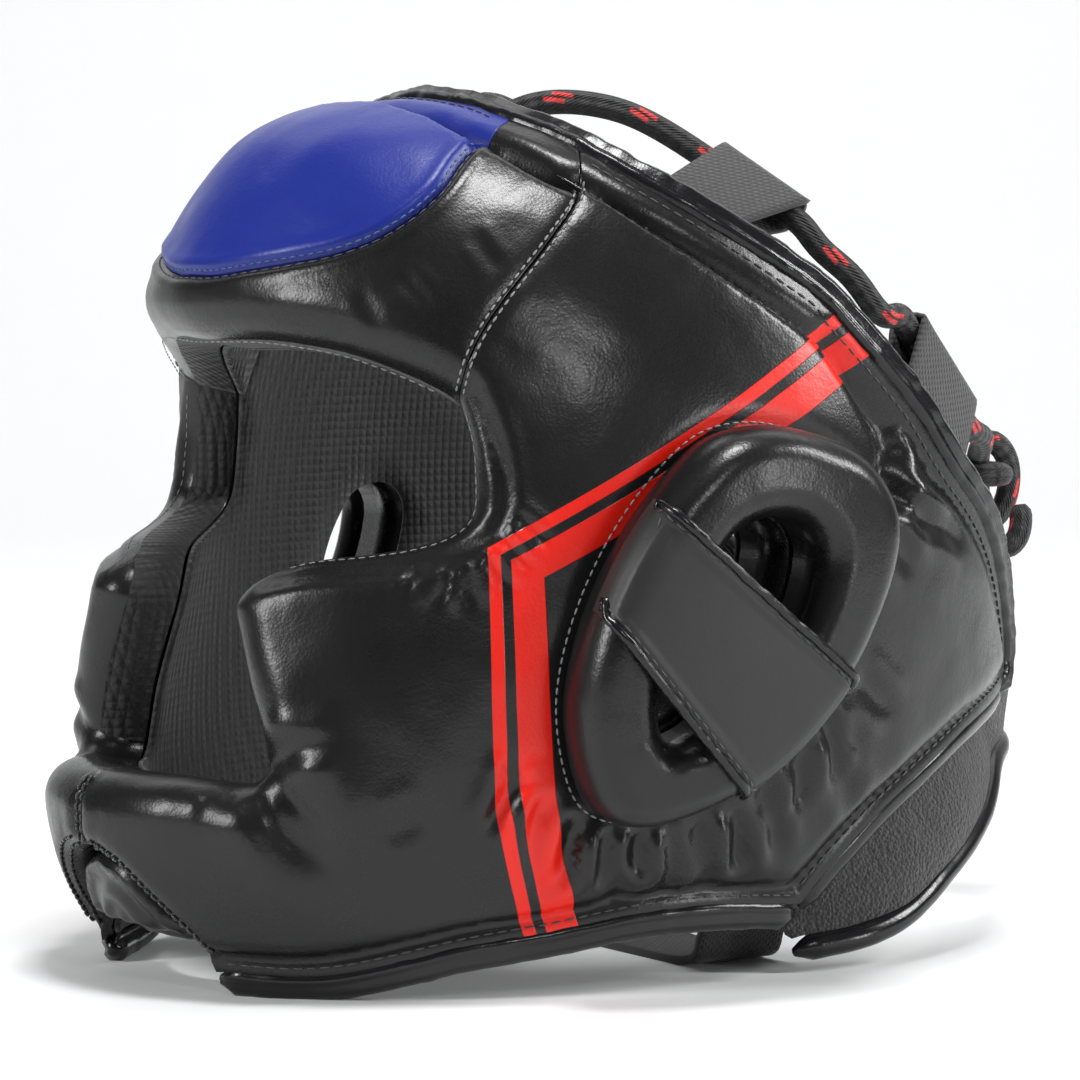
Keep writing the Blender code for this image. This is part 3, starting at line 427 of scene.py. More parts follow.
def mirror_of(obj, name):
    data = obj.data.copy()
    data.name = name
    co = np.empty(len(data.vertices) * 3, np.float32)
    data.vertices.foreach_get("co", co)
    co[0::3] *= -1
    data.vertices.foreach_set("co", co)
    data.flip_normals()
    twin = bpy.data.objects.new(name, data)
    bpy.context.scene.collection.objects.link(twin)
    return twin


def roll(name, material, line, normals, profile, wrinkle=0.3, closed=False, seed=1.0,
         crinkle=4.0):
    """A strip of leather rolled along a line. The profile's points are across and out, in mm."""
    line = np.asarray(line, float)
    if closed:
        along = np.roll(line, -1, axis=0) - np.roll(line, 1, axis=0)
    else:
        along = np.gradient(line, axis=0)
    along /= np.linalg.norm(along, axis=1, keepdims=True)
    out = normals - (normals * along).sum(1)[:, None] * along
    out /= np.linalg.norm(out, axis=1, keepdims=True)
    across = np.cross(along, out)
    travelled = np.concatenate([[0], np.cumsum(np.linalg.norm(np.diff(line, axis=0), axis=1))])
    profile = np.asarray(profile, float)
    count, sides = len(line), len(profile)
    points, uv = [], []
    for i in range(count):
        ease = min(1.0, 0.35 + min(i, count - 1 - i) / 3.0) if not closed else 1.0
        for j, (u, v) in enumerate(profile):
            length = math.hypot(u, v)
            bump = noise.noise(Vector((travelled[i] / crinkle, j * 3.0 / sides, seed * 9.1)))
            bump += 0.6 * noise.noise(Vector((travelled[i] / crinkle * 2.3, j * 5.0 / sides, seed)))
            scale = ease * (1.0 + wrinkle * bump / max(length, 1.0))
            points.append(line[i] + scale * (u * across[i] + v * out[i]))
            uv.append((travelled[i], 2 * math.pi * 4.0 * j / sides, 0.0))
    faces = []
    for i in range(count if closed else count - 1):
        for j in range(sides):
            a, b = i * sides + j, i * sides + (j + 1) % sides
            c, d = ((i + 1) % count) * sides + (j + 1) % sides, ((i + 1) % count) * sides + j
            faces.append((a, b, c, d))
    if not closed:
        faces.append(tuple(range(sides))[::-1])
        faces.append(tuple((count - 1) * sides + j for j in range(sides)))
    obj = add_mesh(name, points, faces, material)
    faced_outwards(obj)
    store(obj, "pattern", uv)
    return obj


def oval(half_width, half_height, sides=14, lift=0.0):
    return [(half_width * math.cos(a), half_height * math.sin(a) + lift)
            for a in np.linspace(0, 2 * math.pi, sides, endpoint=False)]


def beads(half_width, half_height, sides=22):
    """A binding's section: two beads with the stitch line's dent between them."""
    section = []
    for angle in np.linspace(0, 2 * math.pi, sides, endpoint=False):
        dent = 1.0 - 0.34 * math.exp(-((math.cos(angle) + 0.25) / 0.22) ** 2)
        section.append((half_width * math.cos(angle), half_height * math.sin(angle) * dent))
    return section


def band(name, material, rows, thickness, step=1.5, columns=12):
    """A strip of webbing or strap through rows of two edge points, with a woven pattern."""
    left = in_space([row[0] for row in rows], step)
    right = in_space([row[1] for row in rows], step)
    count = min(len(left), len(right))
    left = in_space([row[0] for row in rows], len_of(rows, 0) / (count - 1))[:count]
    right = in_space([row[1] for row in rows], len_of(rows, 1) / (count - 1))[:count]
    count = min(len(left), len(right))
    points, pattern = [], []
    middle = (left[:count] + right[:count]) / 2
    along = np.concatenate([[0], np.cumsum(np.linalg.norm(np.diff(middle, axis=0), axis=1))])
    for i in range(count):
        width = np.linalg.norm(right[i] - left[i])
        for j in range(columns):
            t = j / (columns - 1)
            points.append(left[i] + (right[i] - left[i]) * t)
            pattern.append((along[i], width * t, 0.0))
    faces = [(i * columns + j, i * columns + j + 1, (i + 1) * columns + j + 1,
              (i + 1) * columns + j) for i in range(count - 1) for j in range(columns - 1)]
    obj = add_mesh(name, points, faces, material)
    store(obj, "pattern", pattern)
    solid = obj.modifiers.new("Thickness", "SOLIDIFY")
    solid.thickness = thickness * MM
    solid.offset = 0.0
    return applied(obj)


def len_of(rows, side):
    """Length of a band's left or right edge."""
    line = in_space([row[side] for row in rows], 1.0)
    return np.linalg.norm(np.diff(line, axis=0), axis=1).sum()


def applied(obj):
    """The object with its modifiers made part of its mesh."""
    bpy.context.view_layer.update()
    graph = bpy.context.evaluated_depsgraph_get()
    data = bpy.data.meshes.new_from_object(obj.evaluated_get(graph), depsgraph=graph)
    obj.modifiers.clear()
    obj.data = data
    obj.data.name = obj.name
    return obj


# Materials

def add_node(tree, kind, settings, inputs):
    """A node with its settings, and then the values or links of its sockets."""
    made = tree.nodes.new(kind)
    for key, value in settings.items():
        setattr(made, key, value)
    for key, value in inputs.items():
        if isinstance(value, Value):
            value = value.socket
        if isinstance(value, bpy.types.NodeSocket):
            tree.links.new(value, made.inputs[key])
        else:
            made.inputs[key].default_value = value
    return made


class Value:
    """A number socket that Python operators act on."""

    def __init__(self, finish, socket):
        self.finish, self.socket = finish, socket

    def _math(self, operation, *others):
        return self.finish.number(operation, self, *others)

    def __add__(self, other):
        return self._math("ADD", other)

    __radd__ = __add__

    def __mul__(self, other):
        return self._math("MULTIPLY", other)

    __rmul__ = __mul__

    def __sub__(self, other):
        return self._math("SUBTRACT", other)

    def __rsub__(self, other):
        return self.finish.number("SUBTRACT", other, self)

    def __truediv__(self, other):
        return self._math("DIVIDE", other)

    def sin(self):
        return self._math("SINE")

    def size(self):
        return self._math("ABSOLUTE")

    def most(self, other):
        return self._math("MAXIMUM", other)

    def part(self):
        return self._math("FRACT")

    def above(self, edge, soft):
        """0 below the edge and 1 above it, over a soft step."""
        return ((self - (edge - soft)) / (2.0 * soft)).clamped()

    def clamped(self):
        return self._math("MINIMUM", 1.0)._math("MAXIMUM", 0.0)

    def within(self, low, high, soft):
        return self.above(low, soft) * (1 - self.above(high, soft))


class Finish:
    """A procedural material with one Principled shader."""

    def __init__(self, name, **constants):
        self.material = bpy.data.materials.new(name)
        self.material.use_nodes = True
        self.tree = self.material.node_tree
        self.shader = self.tree.nodes["Principled BSDF"]
        for key, value in constants.items():
            socket = self.shader.inputs[key.replace("_", " ")]
            socket.default_value = (*value, 1.0) if isinstance(value, tuple) else value
        self.place = self.node("ShaderNodeTexCoord", {}, {}).outputs["Object"]

    def node(self, kind, settings, inputs):
        return add_node(self.tree, kind, settings, inputs)

    def number(self, operation, *values):
        made = self.node("ShaderNodeMath", {"operation": operation}, dict(enumerate(values)))
        return Value(self, made.outputs[0])

    def attribute(self, name, output="Fac"):
        made = self.node("ShaderNodeAttribute", {"attribute_name": name}, {})
        return made.outputs["Vector"] if output == "Vector" else Value(self, made.outputs["Fac"])

    def pattern(self):
        """The two pattern coordinates in millimetres."""
        split = self.node("ShaderNodeSeparateXYZ", {}, {0: self.attribute("pattern", "Vector")})
        return Value(self, split.outputs[0]), Value(self, split.outputs[1])

    def noise(self, scale, detail=2.0, roughness=0.5):
        made = self.node("ShaderNodeTexNoise", {}, {"Vector": self.place, "Scale": scale,
                                                    "Detail": detail, "Roughness": roughness})
        return Value(self, made.outputs["Fac"])

    def cells(self, scale, randomness=1.0):
        made = self.node("ShaderNodeTexVoronoi", {"feature": "F1"},
                         {"Vector": self.place, "Scale": scale, "Randomness": randomness})
        return Value(self, made.outputs["Distance"])

    def mixed(self, share, first, second):
        """Two colours mixed by a share."""
        first, second = ((*colour, 1.0) if isinstance(colour, tuple) else colour
                         for colour in (first, second))
        made = self.node("ShaderNodeMix", {"data_type": "RGBA"}, {0: share, 6: first, 7: second})
        return made.outputs[2]

    def set(self, socket, value):
        value = value.socket if isinstance(value, Value) else value
        self.tree.links.new(value, self.shader.inputs[socket])

    def bump(self, *layers):
        """Bumps laid on each other: pairs of height in millimetres and value."""
        normal = None
        for height, value in layers:
            inputs = {"Height": value, "Distance": height * MM, "Strength": 1.0}
            if normal is not None:
                inputs["Normal"] = normal
            normal = self.node("ShaderNodeBump", {}, inputs).outputs[0]
        self.tree.links.new(normal, self.shader.inputs["Normal"])


def hide(finish, roughness, grain=1.0):
    """The grain of smooth leather: broad tone, roughness and bump layers."""
    pebble = finish.cells(1300.0)
    creases = finish.noise(700.0, 1.0)
    broad = finish.noise(38.0, 2.0)
    cloudy = finish.noise(9.0, 1.0)
    pulled = finish.noise(160.0, 2.0, 0.6)
    rough = roughness - 0.08 + broad * 0.10 + cloudy * 0.06 + pebble * 0.05
    pebbled = pebble + 0.5 * (creases - 0.5).size()
    layers = [(0.028 * grain, pebbled), (0.12 * grain, pulled), (0.30, broad)]
    return broad, rough, layers


def leather(name, colour, roughness=0.36, grain=1.0, worn=1.3):
    finish = Finish(name, Specular_IOR_Level=0.40)
    broad, rough, layers = hide(finish, roughness, grain)
    light = tuple(min(1.0, c * worn + 0.002) for c in colour)
    finish.set("Base Color", finish.mixed(broad * 0.8, colour, light))
    finish.set("Roughness", rough)
    finish.bump(*layers)
    return finish


def striped_leather(name, colour, red):
    """Black leather with a thin and a thick red stripe along straight nested arms."""
    finish = Finish(name, Specular_IOR_Level=0.40)
    upper, lower = finish.attribute("upper_arm"), finish.attribute("lower_arm")
    across = upper.most(lower)
    thick = across.within(-8.0, 0.0, 0.12)
    thin = across.within(2.6, 5.8, 0.12)
    stripe = thick.most(thin)
    broad, rough, layers = hide(finish, 0.265)
    light = tuple(min(1.0, c * 1.3 + 0.002) for c in colour)
    black = finish.mixed(broad * 0.8, colour, light)
    paint = finish.mixed(broad, red, tuple(c * 0.86 for c in red))
    finish.set("Base Color", finish.mixed(stripe, black, paint))
    finish.set("Roughness", rough + stripe * 0.06)
    finish.bump(*layers, (0.10, stripe))
    return finish


def woven(name, colour, pitch=1.3, height=0.35):
    finish = Finish(name, Roughness=0.7, Sheen_Weight=0.15)
    along, across = finish.pattern()
    warp = (along * (math.pi / pitch)).sin() * (across * (math.pi / pitch)).sin()
    rib = (across * (2 * math.pi / pitch)).sin()
    fuzz = finish.noise(2500.0, 2.0)
    face = warp * 0.5 + 0.5
    # Painted sheen: the black weave is coloured up to four times lighter where it is raised, broken
    # up by fibre noise.
    light = tuple(c * 4.0 + 0.005 for c in colour)
    finish.set("Base Color", finish.mixed(face * fuzz * 1.4, colour, light))
    finish.set("Roughness", 0.55 + 0.3 * fuzz)
    finish.bump((height, face), (height * 0.4, rib * 0.5 + 0.5), (0.1, fuzz))
    return finish


def spacer_mesh(name, colour):
    finish = Finish(name, Roughness=0.7, Sheen_Weight=0.2)
    dots = 1 - finish.cells(430.0, randomness=0.12)
    fuzz = finish.noise(1800.0, 2.0)
    # Painted highlight: the raised dots are coloured up to four times lighter, broken up by fibre
    # noise.
    light = tuple(c * 4 + 0.01 for c in colour)
    finish.set("Base Color", finish.mixed(dots * fuzz, colour, light))
    finish.set("Roughness", 0.6 + 0.2 * fuzz)
    finish.bump((0.9, dots), (0.15, fuzz))
    return finish


def piled(name, colour):
    finish = Finish(name, Roughness=0.95, Sheen_Weight=0.35, Sheen_Roughness=0.5)
    loops = finish.cells(900.0)
    fuzz = finish.noise(1400.0, 4.0, 0.7)
    matted = finish.noise(120.0, 3.0)
    finish.set("Base Color", finish.mixed(fuzz * matted * 1.4, colour,
                                          tuple(c * 4.5 + 0.012 for c in colour)))
    finish.bump((0.7, fuzz), (0.6, 1 - loops), (0.8, matted))
    return finish


def braided(name, colour, red):
    """Braid with pairs of short red flecks. The pattern is along and round, in millimetres."""
    finish = Finish(name, Roughness=0.75, Sheen_Weight=0.15)
    along, round_ = finish.pattern()
    turns = 2 * math.pi * LACE_RADIUS
    strands = 8.0
    one = along * (2 * math.pi / 9.0) + round_ * (2 * math.pi * strands / turns / 2)
    two = along * (2 * math.pi / 9.0) - round_ * (2 * math.pi * strands / turns / 2)
    first, second = one.sin(), two.sin()
    bead = (first * second) * 0.5 + 0.5
    threads = (one * 6.0).sin() * 0.5 + 0.5
    fuzz = finish.noise(2600.0, 2.0)
    place_along = (along / 22.0 + finish.number("FLOOR", round_ / (turns / 2)) * 0.43).part()
    lane = (round_ / (turns / 2)).part()
    lean = lane - place_along * 0.45
    dash_one = lean.within(0.16, 0.29, 0.012) * place_along.within(0.16, 0.40, 0.012)
    dash_two = lean.within(0.36, 0.49, 0.012) * place_along.within(0.06, 0.30, 0.012)
    flecks = dash_one.most(dash_two)
    # Painted highlight: the braid is coloured up to three times lighter on its raised strand beads,
    # broken up by fibre noise; the red flecks are print.
    light = tuple(c * 3.0 + 0.008 for c in colour)
    finish.set("Base Color", finish.mixed(flecks, finish.mixed(bead * fuzz, colour, light), red))
    finish.set("Roughness", 0.6 + 0.25 * fuzz)
    finish.bump((1.3, bead), (0.25, threads), (0.12, fuzz))
    return finish


def thread(name, colour, roughness=0.5):
    finish = Finish(name, Roughness=roughness, Sheen_Weight=0.1)
    twist = finish.noise(3500.0, 2.0)
    finish.set("Base Color", finish.mixed(twist, colour, tuple(c * 0.6 for c in colour)))
    finish.bump((0.08, twist),)
    return finish


RED = (0.82, 0.012, 0.003)
BLACK = (0.0060, 0.0060, 0.0064)
black_leather = leather("black_leather", BLACK, roughness=0.265).material
side_leather = striped_leather("side_leather", BLACK, RED).material
blue_leather = leather("blue_leather", (0.005, 0.017, 0.20), roughness=0.34, grain=0.9,
                       worn=1.2).material
strap_leather = leather("strap_leather", (0.016, 0.016, 0.017), roughness=0.42, grain=0.6).material
trim_leather = leather("trim_leather", (0.006, 0.006, 0.007), roughness=0.20, grain=0.8).material
mesh_lining = spacer_mesh("mesh_lining", (0.005, 0.005, 0.0055)).material
web_cloth = woven("web_cloth", (0.010, 0.010, 0.010)).material
plain_web = woven("plain_web", (0.012, 0.012, 0.012), pitch=1.0, height=0.25).material
lace_braid = braided("lace_braid", (0.010, 0.010, 0.011), (0.75, 0.03, 0.03)).material
pile_cloth = piled("pile_cloth", (0.008, 0.008, 0.008)).material
grey_thread = thread("grey_thread", (0.28, 0.28, 0.285)).material
dark_thread = thread("dark_thread", (0.06, 0.06, 0.062)).material
glossy_thread = thread("glossy_thread", (0.02, 0.02, 0.021), 0.25).material
blue_thread = thread("blue_thread", (0.05, 0.12, 0.38)).material


# Leather panels

STEP = 2.5
runs = {name: curve_through(points, STEP) for name, points in RUNS.items()}
ear_rim = curve_through(EAR_PAD, STEP, closed=True)
ear_hole = curve_through(EAR_HOLE, STEP, closed=True)[::-1]
valley = curve_through(VALLEY, STEP)
eye_crease = curve_through(EYE_CREASE, STEP)


def joined(*names):
    return np.vstack([runs[name][:-1] for name in names])


def padding_side(points, bound):
    """Depth of the padding's inner face, which comes out to meet each bound edge."""
    lift = np.zeros(len(points))
    for run, flap in bound:
        lift = np.maximum(lift, 1.0 - smoothstep(0.0, LIFT_WIDTH, distance_to(points, run) - flap))
    return -wall(points[:, 0]) + (wall(points[:, 0]) - EDGE_DEPTH) * lift


def stuffed(points, edges, pucker_seed):
    """Depth of a stuffed surface. Each edge has a run, flap, reach, share left at the edge,
    and how far the seam gathers the leather."""
    thickness = wall(points[:, 0])
    share, pull = np.ones(len(points)), np.zeros(len(points))
    for number, (run, flap, reach, floor, gather) in enumerate(edges):
        away, along = measure_to(points, run)
        edge = floor + (1 - floor) * swell(np.maximum(away - flap, 0.0), reach)
        if gather:
            wave = np.array([noise.noise(Vector((s / 5.0, number * 3.7, pucker_seed)))
                             + 0.7 * noise.noise(Vector((s / 2.4, number * 5.1, pucker_seed)))
                             for s in along])
            near = np.exp(-np.maximum(away - flap, 0.0) / 6.0) * smoothstep(0.0, 1.2, away)
            pull += gather * wave * near
        share = np.minimum(share, edge)
    return FLANGE + (thickness - FLANGE) * share - thickness + pull


def groove(points, run, depth, width, closed=False):
    away = distance_to(points, run, closed)
    beside = (away - 2.0 * width) / width
    return depth * (np.exp(-(away / width) ** 2) - 0.35 * np.exp(-beside ** 2))


def wrinkled(points, folds):
    """Short folds that fade at their ends, each with a soft ridge beside it."""
    total = np.zeros(len(points))
    where = points * PATTERN
    for start, end, depth, width in folds:
        a, b = np.array(start) * PATTERN, np.array(end) * PATTERN
        step = b - a
        size = np.linalg.norm(step)
        near = np.linalg.norm(where - (a + b) / 2, axis=1) < size
        if not near.any():
            continue
        w = where[near] - a
        t = (w @ step) / size**2
        bend = 1.4 * np.sin(t * 2.6 + start[0]) * (size / 20)
        off = (w[:, 0] * step[1] - w[:, 1] * step[0]) / size - bend
        ends = smoothstep(0.0, 0.25, t) * smoothstep(0.0, 0.35, 1.0 - t)
        ridge_off = (np.abs(off) - 2.1 * width) / width
        dent = np.exp(-(off / width) ** 2) - 0.55 * np.exp(-ridge_off ** 2)
        total[near] += depth * ends * dent
    return total


GATHER_LINE = [(60, 0.220), (64, 0.185), (68, 0.152), (73, 0.140), (80, 0.142), (87, 0.165),
               (93, 0.210), (97, 0.250)]


def gather_folds():
    """Folds below the ear pad, fanning out from under it."""
    folds = []
    rng = np.random.default_rng(5)
    for turn in np.linspace(60, 97, 17):
        base = np.interp(turn, *np.transpose(GATHER_LINE))
        lean = (turn - 77) * 0.16 + rng.uniform(-0.6, 0.6)
        reach = rng.uniform(0.045, 0.085)
        folds.append(((turn - lean * 0.2, base + 0.012), (turn + lean * 0.8, base - reach),
                      rng.uniform(1.2, 2.6), rng.uniform(1.9, 2.9)))
    return folds


def crumple(points, run, width, amount, seed):
    """The slack flap between the padding's ridge and the binding."""
    away, along = measure_to(points, run)
    cross_folds = np.array([noise.noise(Vector((s / 6.5, d / 14.0, seed)))
                            + 0.35 * noise.noise(Vector((s / 3.6, d / 7.0, seed + 3)))
                            for s, d in zip(along, away)])
    return amount * cross_folds * (1 - smoothstep(width * 0.75, width * 1.15, away)) \
        * smoothstep(0.0, 3.0, away)


def side_edges():
    """Each edge's run, flap, reach, share left at the edge, and gather."""
    return [(runs["forehead_seam"], 0.0, 4.5, 0.94, 0.3), (runs["eye"], 0.0, 13.0, 0.34, 0.12),
            (runs["cheek"], 0.0, 13.0, 0.40, 0.05), (runs["chin"], 0.0, 13.0, 0.3, 0.15),
            (runs["chin_seam"], 0.0, 5.0, 0.84, 0.4), (runs["gusset_seam"], 0.0, 7.0, 0.62, 0.6),
            (runs["jaw"], 1.0, 10.0, 0.25, 0.45), (runs["nape"], 1.2, 12.0, 0.1, 0.3),
            (runs["rear"], 2.5, 13.0, 0.1, 0.4), (runs["temple"], FLAP_WIDTH, 3.6, 0.0, 0.5)]


SIDE_BOUND = [(runs["jaw"], 0.0), (runs["nape"], 0.0), (runs["rear"], 0.0),
              (runs["temple"], FLAP_WIDTH - 6.0)]
SIDE_FOLDS = WRINKLES + gather_folds()


def side_inner(points):
    return padding_side(points, SIDE_BOUND)


def side_outer(points):
    base = stuffed(points, side_edges(), 1.7)
    base -= VALLEY_DEPTH * (1 - smoothstep(0, VALLEY_WIDTH, distance_to(points, valley)))
    base -= groove(points, eye_crease, 1.2, 1.9)
    base -= wrinkled(points, SIDE_FOLDS)
    base += 0.8 * ripple(points, 34.0, 1.0) + 0.22 * ripple(points, 11.0, 2.0)
    base += crumple(points, runs["temple"], FLAP_WIDTH, 1.5, 2.0)
    near_pad = distance_to(points, ear_rim, closed=True)
    within = inside(chart(points), chart(ear_rim))
    base -= 1.4 * np.where(within, 1.0, np.exp(-(near_pad / 3.5) ** 2))
    return np.maximum(base, side_inner(points) + FLANGE)


def arm(a, b):
    """Signed distance, in pattern millimetres, from the line through two points."""
    a, b = np.array(a) * PATTERN, np.array(b) * PATTERN
    step = (b - a) / np.linalg.norm(b - a)

    def measured(points):
        w = points * PATTERN - a
        return w[:, 1] * step[0] - w[:, 0] * step[1]
    return measured


side_cut = joined("forehead_seam", "eye", "cheek", "chin", "chin_seam", "gusset_seam", "jaw",
                  "nape", "rear", "temple")
side_outlines = [pulled_in(side_cut, SEAM_GAP), ear_hole]
side_facts = {
    "upper_arm": arm((56, 0.400), (103, 0.603)),
    "lower_arm": arm((66, 0.050), (56, 0.400)),
}
side_left = panel("padded_side_left", side_leather, side_outlines, side_outer, side_inner,
                  facts=side_facts, cloth_runs=[runs["eye"], runs["cheek"]])
side_right = mirror_of(side_left, "padded_side_right")

FOREHEAD_BOUND = [(run, FRONT_FLAP_WIDTH - 9.0) for run in (
    runs["corner"], runs["front"], mirrored(runs["front"]), mirrored(runs["corner"]))]
FLAP_EDGES = [(run, FRONT_FLAP_WIDTH - 1.0, 5.0, 0.0, 0.4) for run, _ in FOREHEAD_BOUND]
blue_line = np.vstack([mirrored(runs["blue"]), runs["blue"][1:]])
brow_line = np.vstack([runs["brow"], mirrored(runs["brow"])[1:]])
front_line = np.vstack([runs["front"], mirrored(runs["front"])[1:]])
FOREHEAD_FOLDS = [((40, 0.66), (45, 0.62), 0.4, 2.2), ((34, 0.645), (38, 0.60), 0.35, 2.2),
                  ((50, 0.70), (55, 0.66), 0.4, 2.0)]


def forehead_inner(points):
    return padding_side(points, FOREHEAD_BOUND)


def forehead_outer(points, edges):
    base = stuffed(points, edges + FLAP_EDGES, 4.2)
    base -= groove(points, blue_line, 1.6, 1.5)
    base -= wrinkled(points, FOREHEAD_FOLDS)
    base += 0.7 * ripple(points, 30.0, 5.0) + 0.2 * ripple(points, 10.0, 6.0)
    base += crumple(points, front_line, FRONT_FLAP_WIDTH, 1.2, 7.0)
    base += crumple(points, runs["corner"], FRONT_FLAP_WIDTH, 1.2, 8.0)
    return np.maximum(base, forehead_inner(points) + FLANGE)


def blue_outer(points):
    return forehead_outer(points, [])


def brow_outer(points):
    edges = [(runs["forehead_seam"], 0.0, 4.5, 0.94, 0.3), (brow_line, 0.0, 12.0, 0.35, 0.12),
             (mirrored(runs["forehead_seam"]), 0.0, 4.5, 0.94, 0.3)]
    return forehead_outer(points, edges)


blue_cut = np.vstack([blue_line[:-1], front_line[:-1]])
brow_cut = np.vstack([blue_line[::-1][:-1], mirrored(runs["corner"])[:-1],
                      mirrored(runs["forehead_seam"])[::-1][:-1], brow_line[::-1][:-1],
                      runs["forehead_seam"][::-1][:-1], runs["corner"][:-1]])
blue_outlines, brow_outlines = [pulled_in(blue_cut, SEAM_GAP)], [pulled_in(brow_cut, SEAM_GAP)]
blue_panel = panel("forehead_blue", blue_leather, blue_outlines, blue_outer, forehead_inner)
brow_panel = panel("forehead_brow", black_leather, brow_outlines, brow_outer, forehead_inner,
                   cloth_runs=[brow_line])

gusset_line = np.vstack([mirrored(runs["gusset_seam"]), runs["gusset_seam"][1:]])
gusset_edge = np.vstack([runs["gusset_edge"], mirrored(runs["gusset_edge"])[1:]])


def gusset_outer(points):
    edges = [(gusset_line, 0.0, 6.0, 0.30, 0.5), (gusset_edge, 2.0, 8.0, 0.2, 0.4)]
    away = distance_to(points, gusset_line)
    pleat = np.cos(away * (2 * math.pi / PLEAT_PITCH)) * np.exp(-away / PLEAT_FADE)
    pleat *= PLEAT_DEPTH * smoothstep(0, 4, away)
    base = stuffed(points, edges, 9.1) - GUSSET_DEPTH * GUSSET_BACK - pleat
    base += 0.5 * ripple(points, 14.0, 9.0)
    return np.maximum(base, gusset_inner(points) + FLANGE)


def gusset_inner(points):
    return -wall(points[:, 0])


gusset_cut = np.vstack([gusset_line[:-1], runs["gusset_side"][:-1], gusset_edge[:-1],
                        mirrored(runs["gusset_side"])[:-1]])
gusset = panel("chin_gusset_leather", black_leather, [pulled_in(gusset_cut, SEAM_GAP)],
               gusset_outer, gusset_inner)


def lining(name, outlines, inner):
    return panel(name, mesh_lining, outlines, lambda p: inner(p) - LINING_GAP,
                 lambda p: inner(p) - LINING_GAP - LINING, step=5.0, rings=(1.5,))


lining_left = lining("mesh_lining_left", side_outlines, side_inner)
lining_right = mirror_of(lining_left, "mesh_lining_right")
lining_blue = lining("mesh_lining_forehead", blue_outlines, forehead_inner)
lining_brow = lining("mesh_lining_brow", brow_outlines, forehead_inner)


# Ear pads and their straps

def pad_top(points):
    """Height of the ear pad, without its hole."""
    return EAR_GAP + FLANGE + (EAR_RISE - FLANGE) * swell(
        distance_to(points, ear_rim, closed=True), EAR_SHOULDER)


def pleats(points):
    """Short gathers round the hole, deepest at its lower end."""
    away, along = measure_to(points, ear_hole, closed=True)
    from_low = np.linalg.norm((points - HOLE_LOW_END) * PATTERN, axis=1)
    strength = 1.9 * np.exp(-(from_low / 12.0) ** 2) + 0.22
    wave = np.array([noise.noise(Vector((s / 2.3, 0.0, 3.3))) for s in along])
    return strength * wave * np.exp(-away / 5.0)


def pad_outer(points):
    hole = swell(distance_to(points, ear_hole, closed=True) + 1.0, EAR_SLOPE)
    height = EAR_GAP + FLANGE + (pad_top(points) - EAR_GAP - FLANGE) * hole
    fade = smoothstep(0.0, 5.0, distance_to(points, ear_rim, closed=True))
    return height + pleats(points) + fade * (0.35 * ripple(points, 20.0, 11.0)
                                             + 0.12 * ripple(points, 7.0, 12.0))


pad_left = panel("ear_ring_left", black_leather, [ear_rim, ear_hole], pad_outer,
                 lambda p: np.full(len(p), EAR_GAP), step=1.25)
pad_right = mirror_of(pad_left, "ear_ring_right")


def strap_outline():
    """Two straight long edges, and two ends that follow the pad's rim."""
    rim = curve_through(EAR_PAD, 1.2, closed=True)
    at = [int(np.linalg.norm(chart(rim) - chart([corner]), axis=1).argmin())
          for corner in EAR_STRAP]
    sides = []
    for first, second, straight in ((0, 1, False), (1, 2, True), (2, 3, False), (3, 0, True)):
        a, b = at[first], at[second]
        if straight:
            count = round(np.linalg.norm(chart([rim[b]]) - chart([rim[a]])) / 2.0)
            sides.append(rim[a] + (rim[b] - rim[a]) * (np.arange(count) / count)[:, None])
        else:
            sides.append(rim[np.arange(a, a + (b - a) % len(rim)) % len(rim)][::2])
    return np.vstack(sides)


strap_edge = strap_outline()


def strap_inner(points):
    away = distance_to(points, ear_rim, closed=True)
    away = np.where(inside(chart(points), chart(ear_rim)), away + 0.5, 0.5)
    share = swell(away, EAR_SHOULDER)
    return EAR_GAP + FLANGE + (EAR_RISE - FLANGE) * share + 0.5


def strap_outer(points):
    away = distance_to(points, strap_edge, closed=True)
    folded = 0.35 * (1 - smoothstep(3.7, 4.5, away)) * smoothstep(0.0, 0.8, away)
    row = 0.35 * np.exp(-((away - 2.2) / 0.7) ** 2)
    return strap_inner(points) + 1.0 + 0.5 * swell(away, 1.2) + folded - row \
        + 0.15 * ripple(points, 12.0, 14.0)


ear_strap_left = panel("ear_band_left", strap_leather, [strap_edge], strap_outer, strap_inner,
                       step=1.6, rings=(0.2, 0.6, 1.2, 2.0, 2.7, 3.2, 3.7, 4.5, 5.6, 6.4))
ear_strap_right = mirror_of(ear_strap_left, "ear_band_right")

strap_inside = pulled_in(strap_edge, 0.9)
strap_stitched = pulled_in(strap_edge, 2.6)
strap_folds, strap_rows = [], []
for first in (1, 3):
    ends = np.array([EAR_STRAP[first], EAR_STRAP[(first + 1) % 4]], float)
    for outline, kept in ((strap_inside, strap_folds), (strap_stitched, strap_rows)):
        line = outline[distance_to(outline, ends) < 4.0]
        line = line[np.argsort((line - ends[0]) @ (ends[1] - ends[0]))]
        kept.append(line)
strap_rows = [place(line, strap_outer(line) + 0.15) for line in strap_rows]
strap_rolls = []
for number, line in enumerate(strap_folds):
    line = curve_through(line, 0.9)
    fold = roll(f"ear_band_fold_left_{number}", trim_leather, place(line, strap_outer(line) - 0.1),
                normals_at(line), oval(1.2, 1.0, 10), wrinkle=0.32,
                seed=8.0 + number, crinkle=2.4)
    strap_rolls += [fold, mirror_of(fold, f"ear_band_fold_right_{number}")]


# Bindings

def bound(name, run, profile, shift=3.6, depth=-EDGE_DEPTH + FLANGE / 2, material=trim_leather,
          wrinkle=0.3, seed=1.0, crinkle=4.0):
    """A binding rolled along a cut edge, that far outside it and at that depth."""
    line = moved(run, -shift)
    depths = depth(line) if callable(depth) else depth
    return roll(name, material, place(line, depths), normals_at(line), profile,
                wrinkle, seed=seed, crinkle=crinkle)


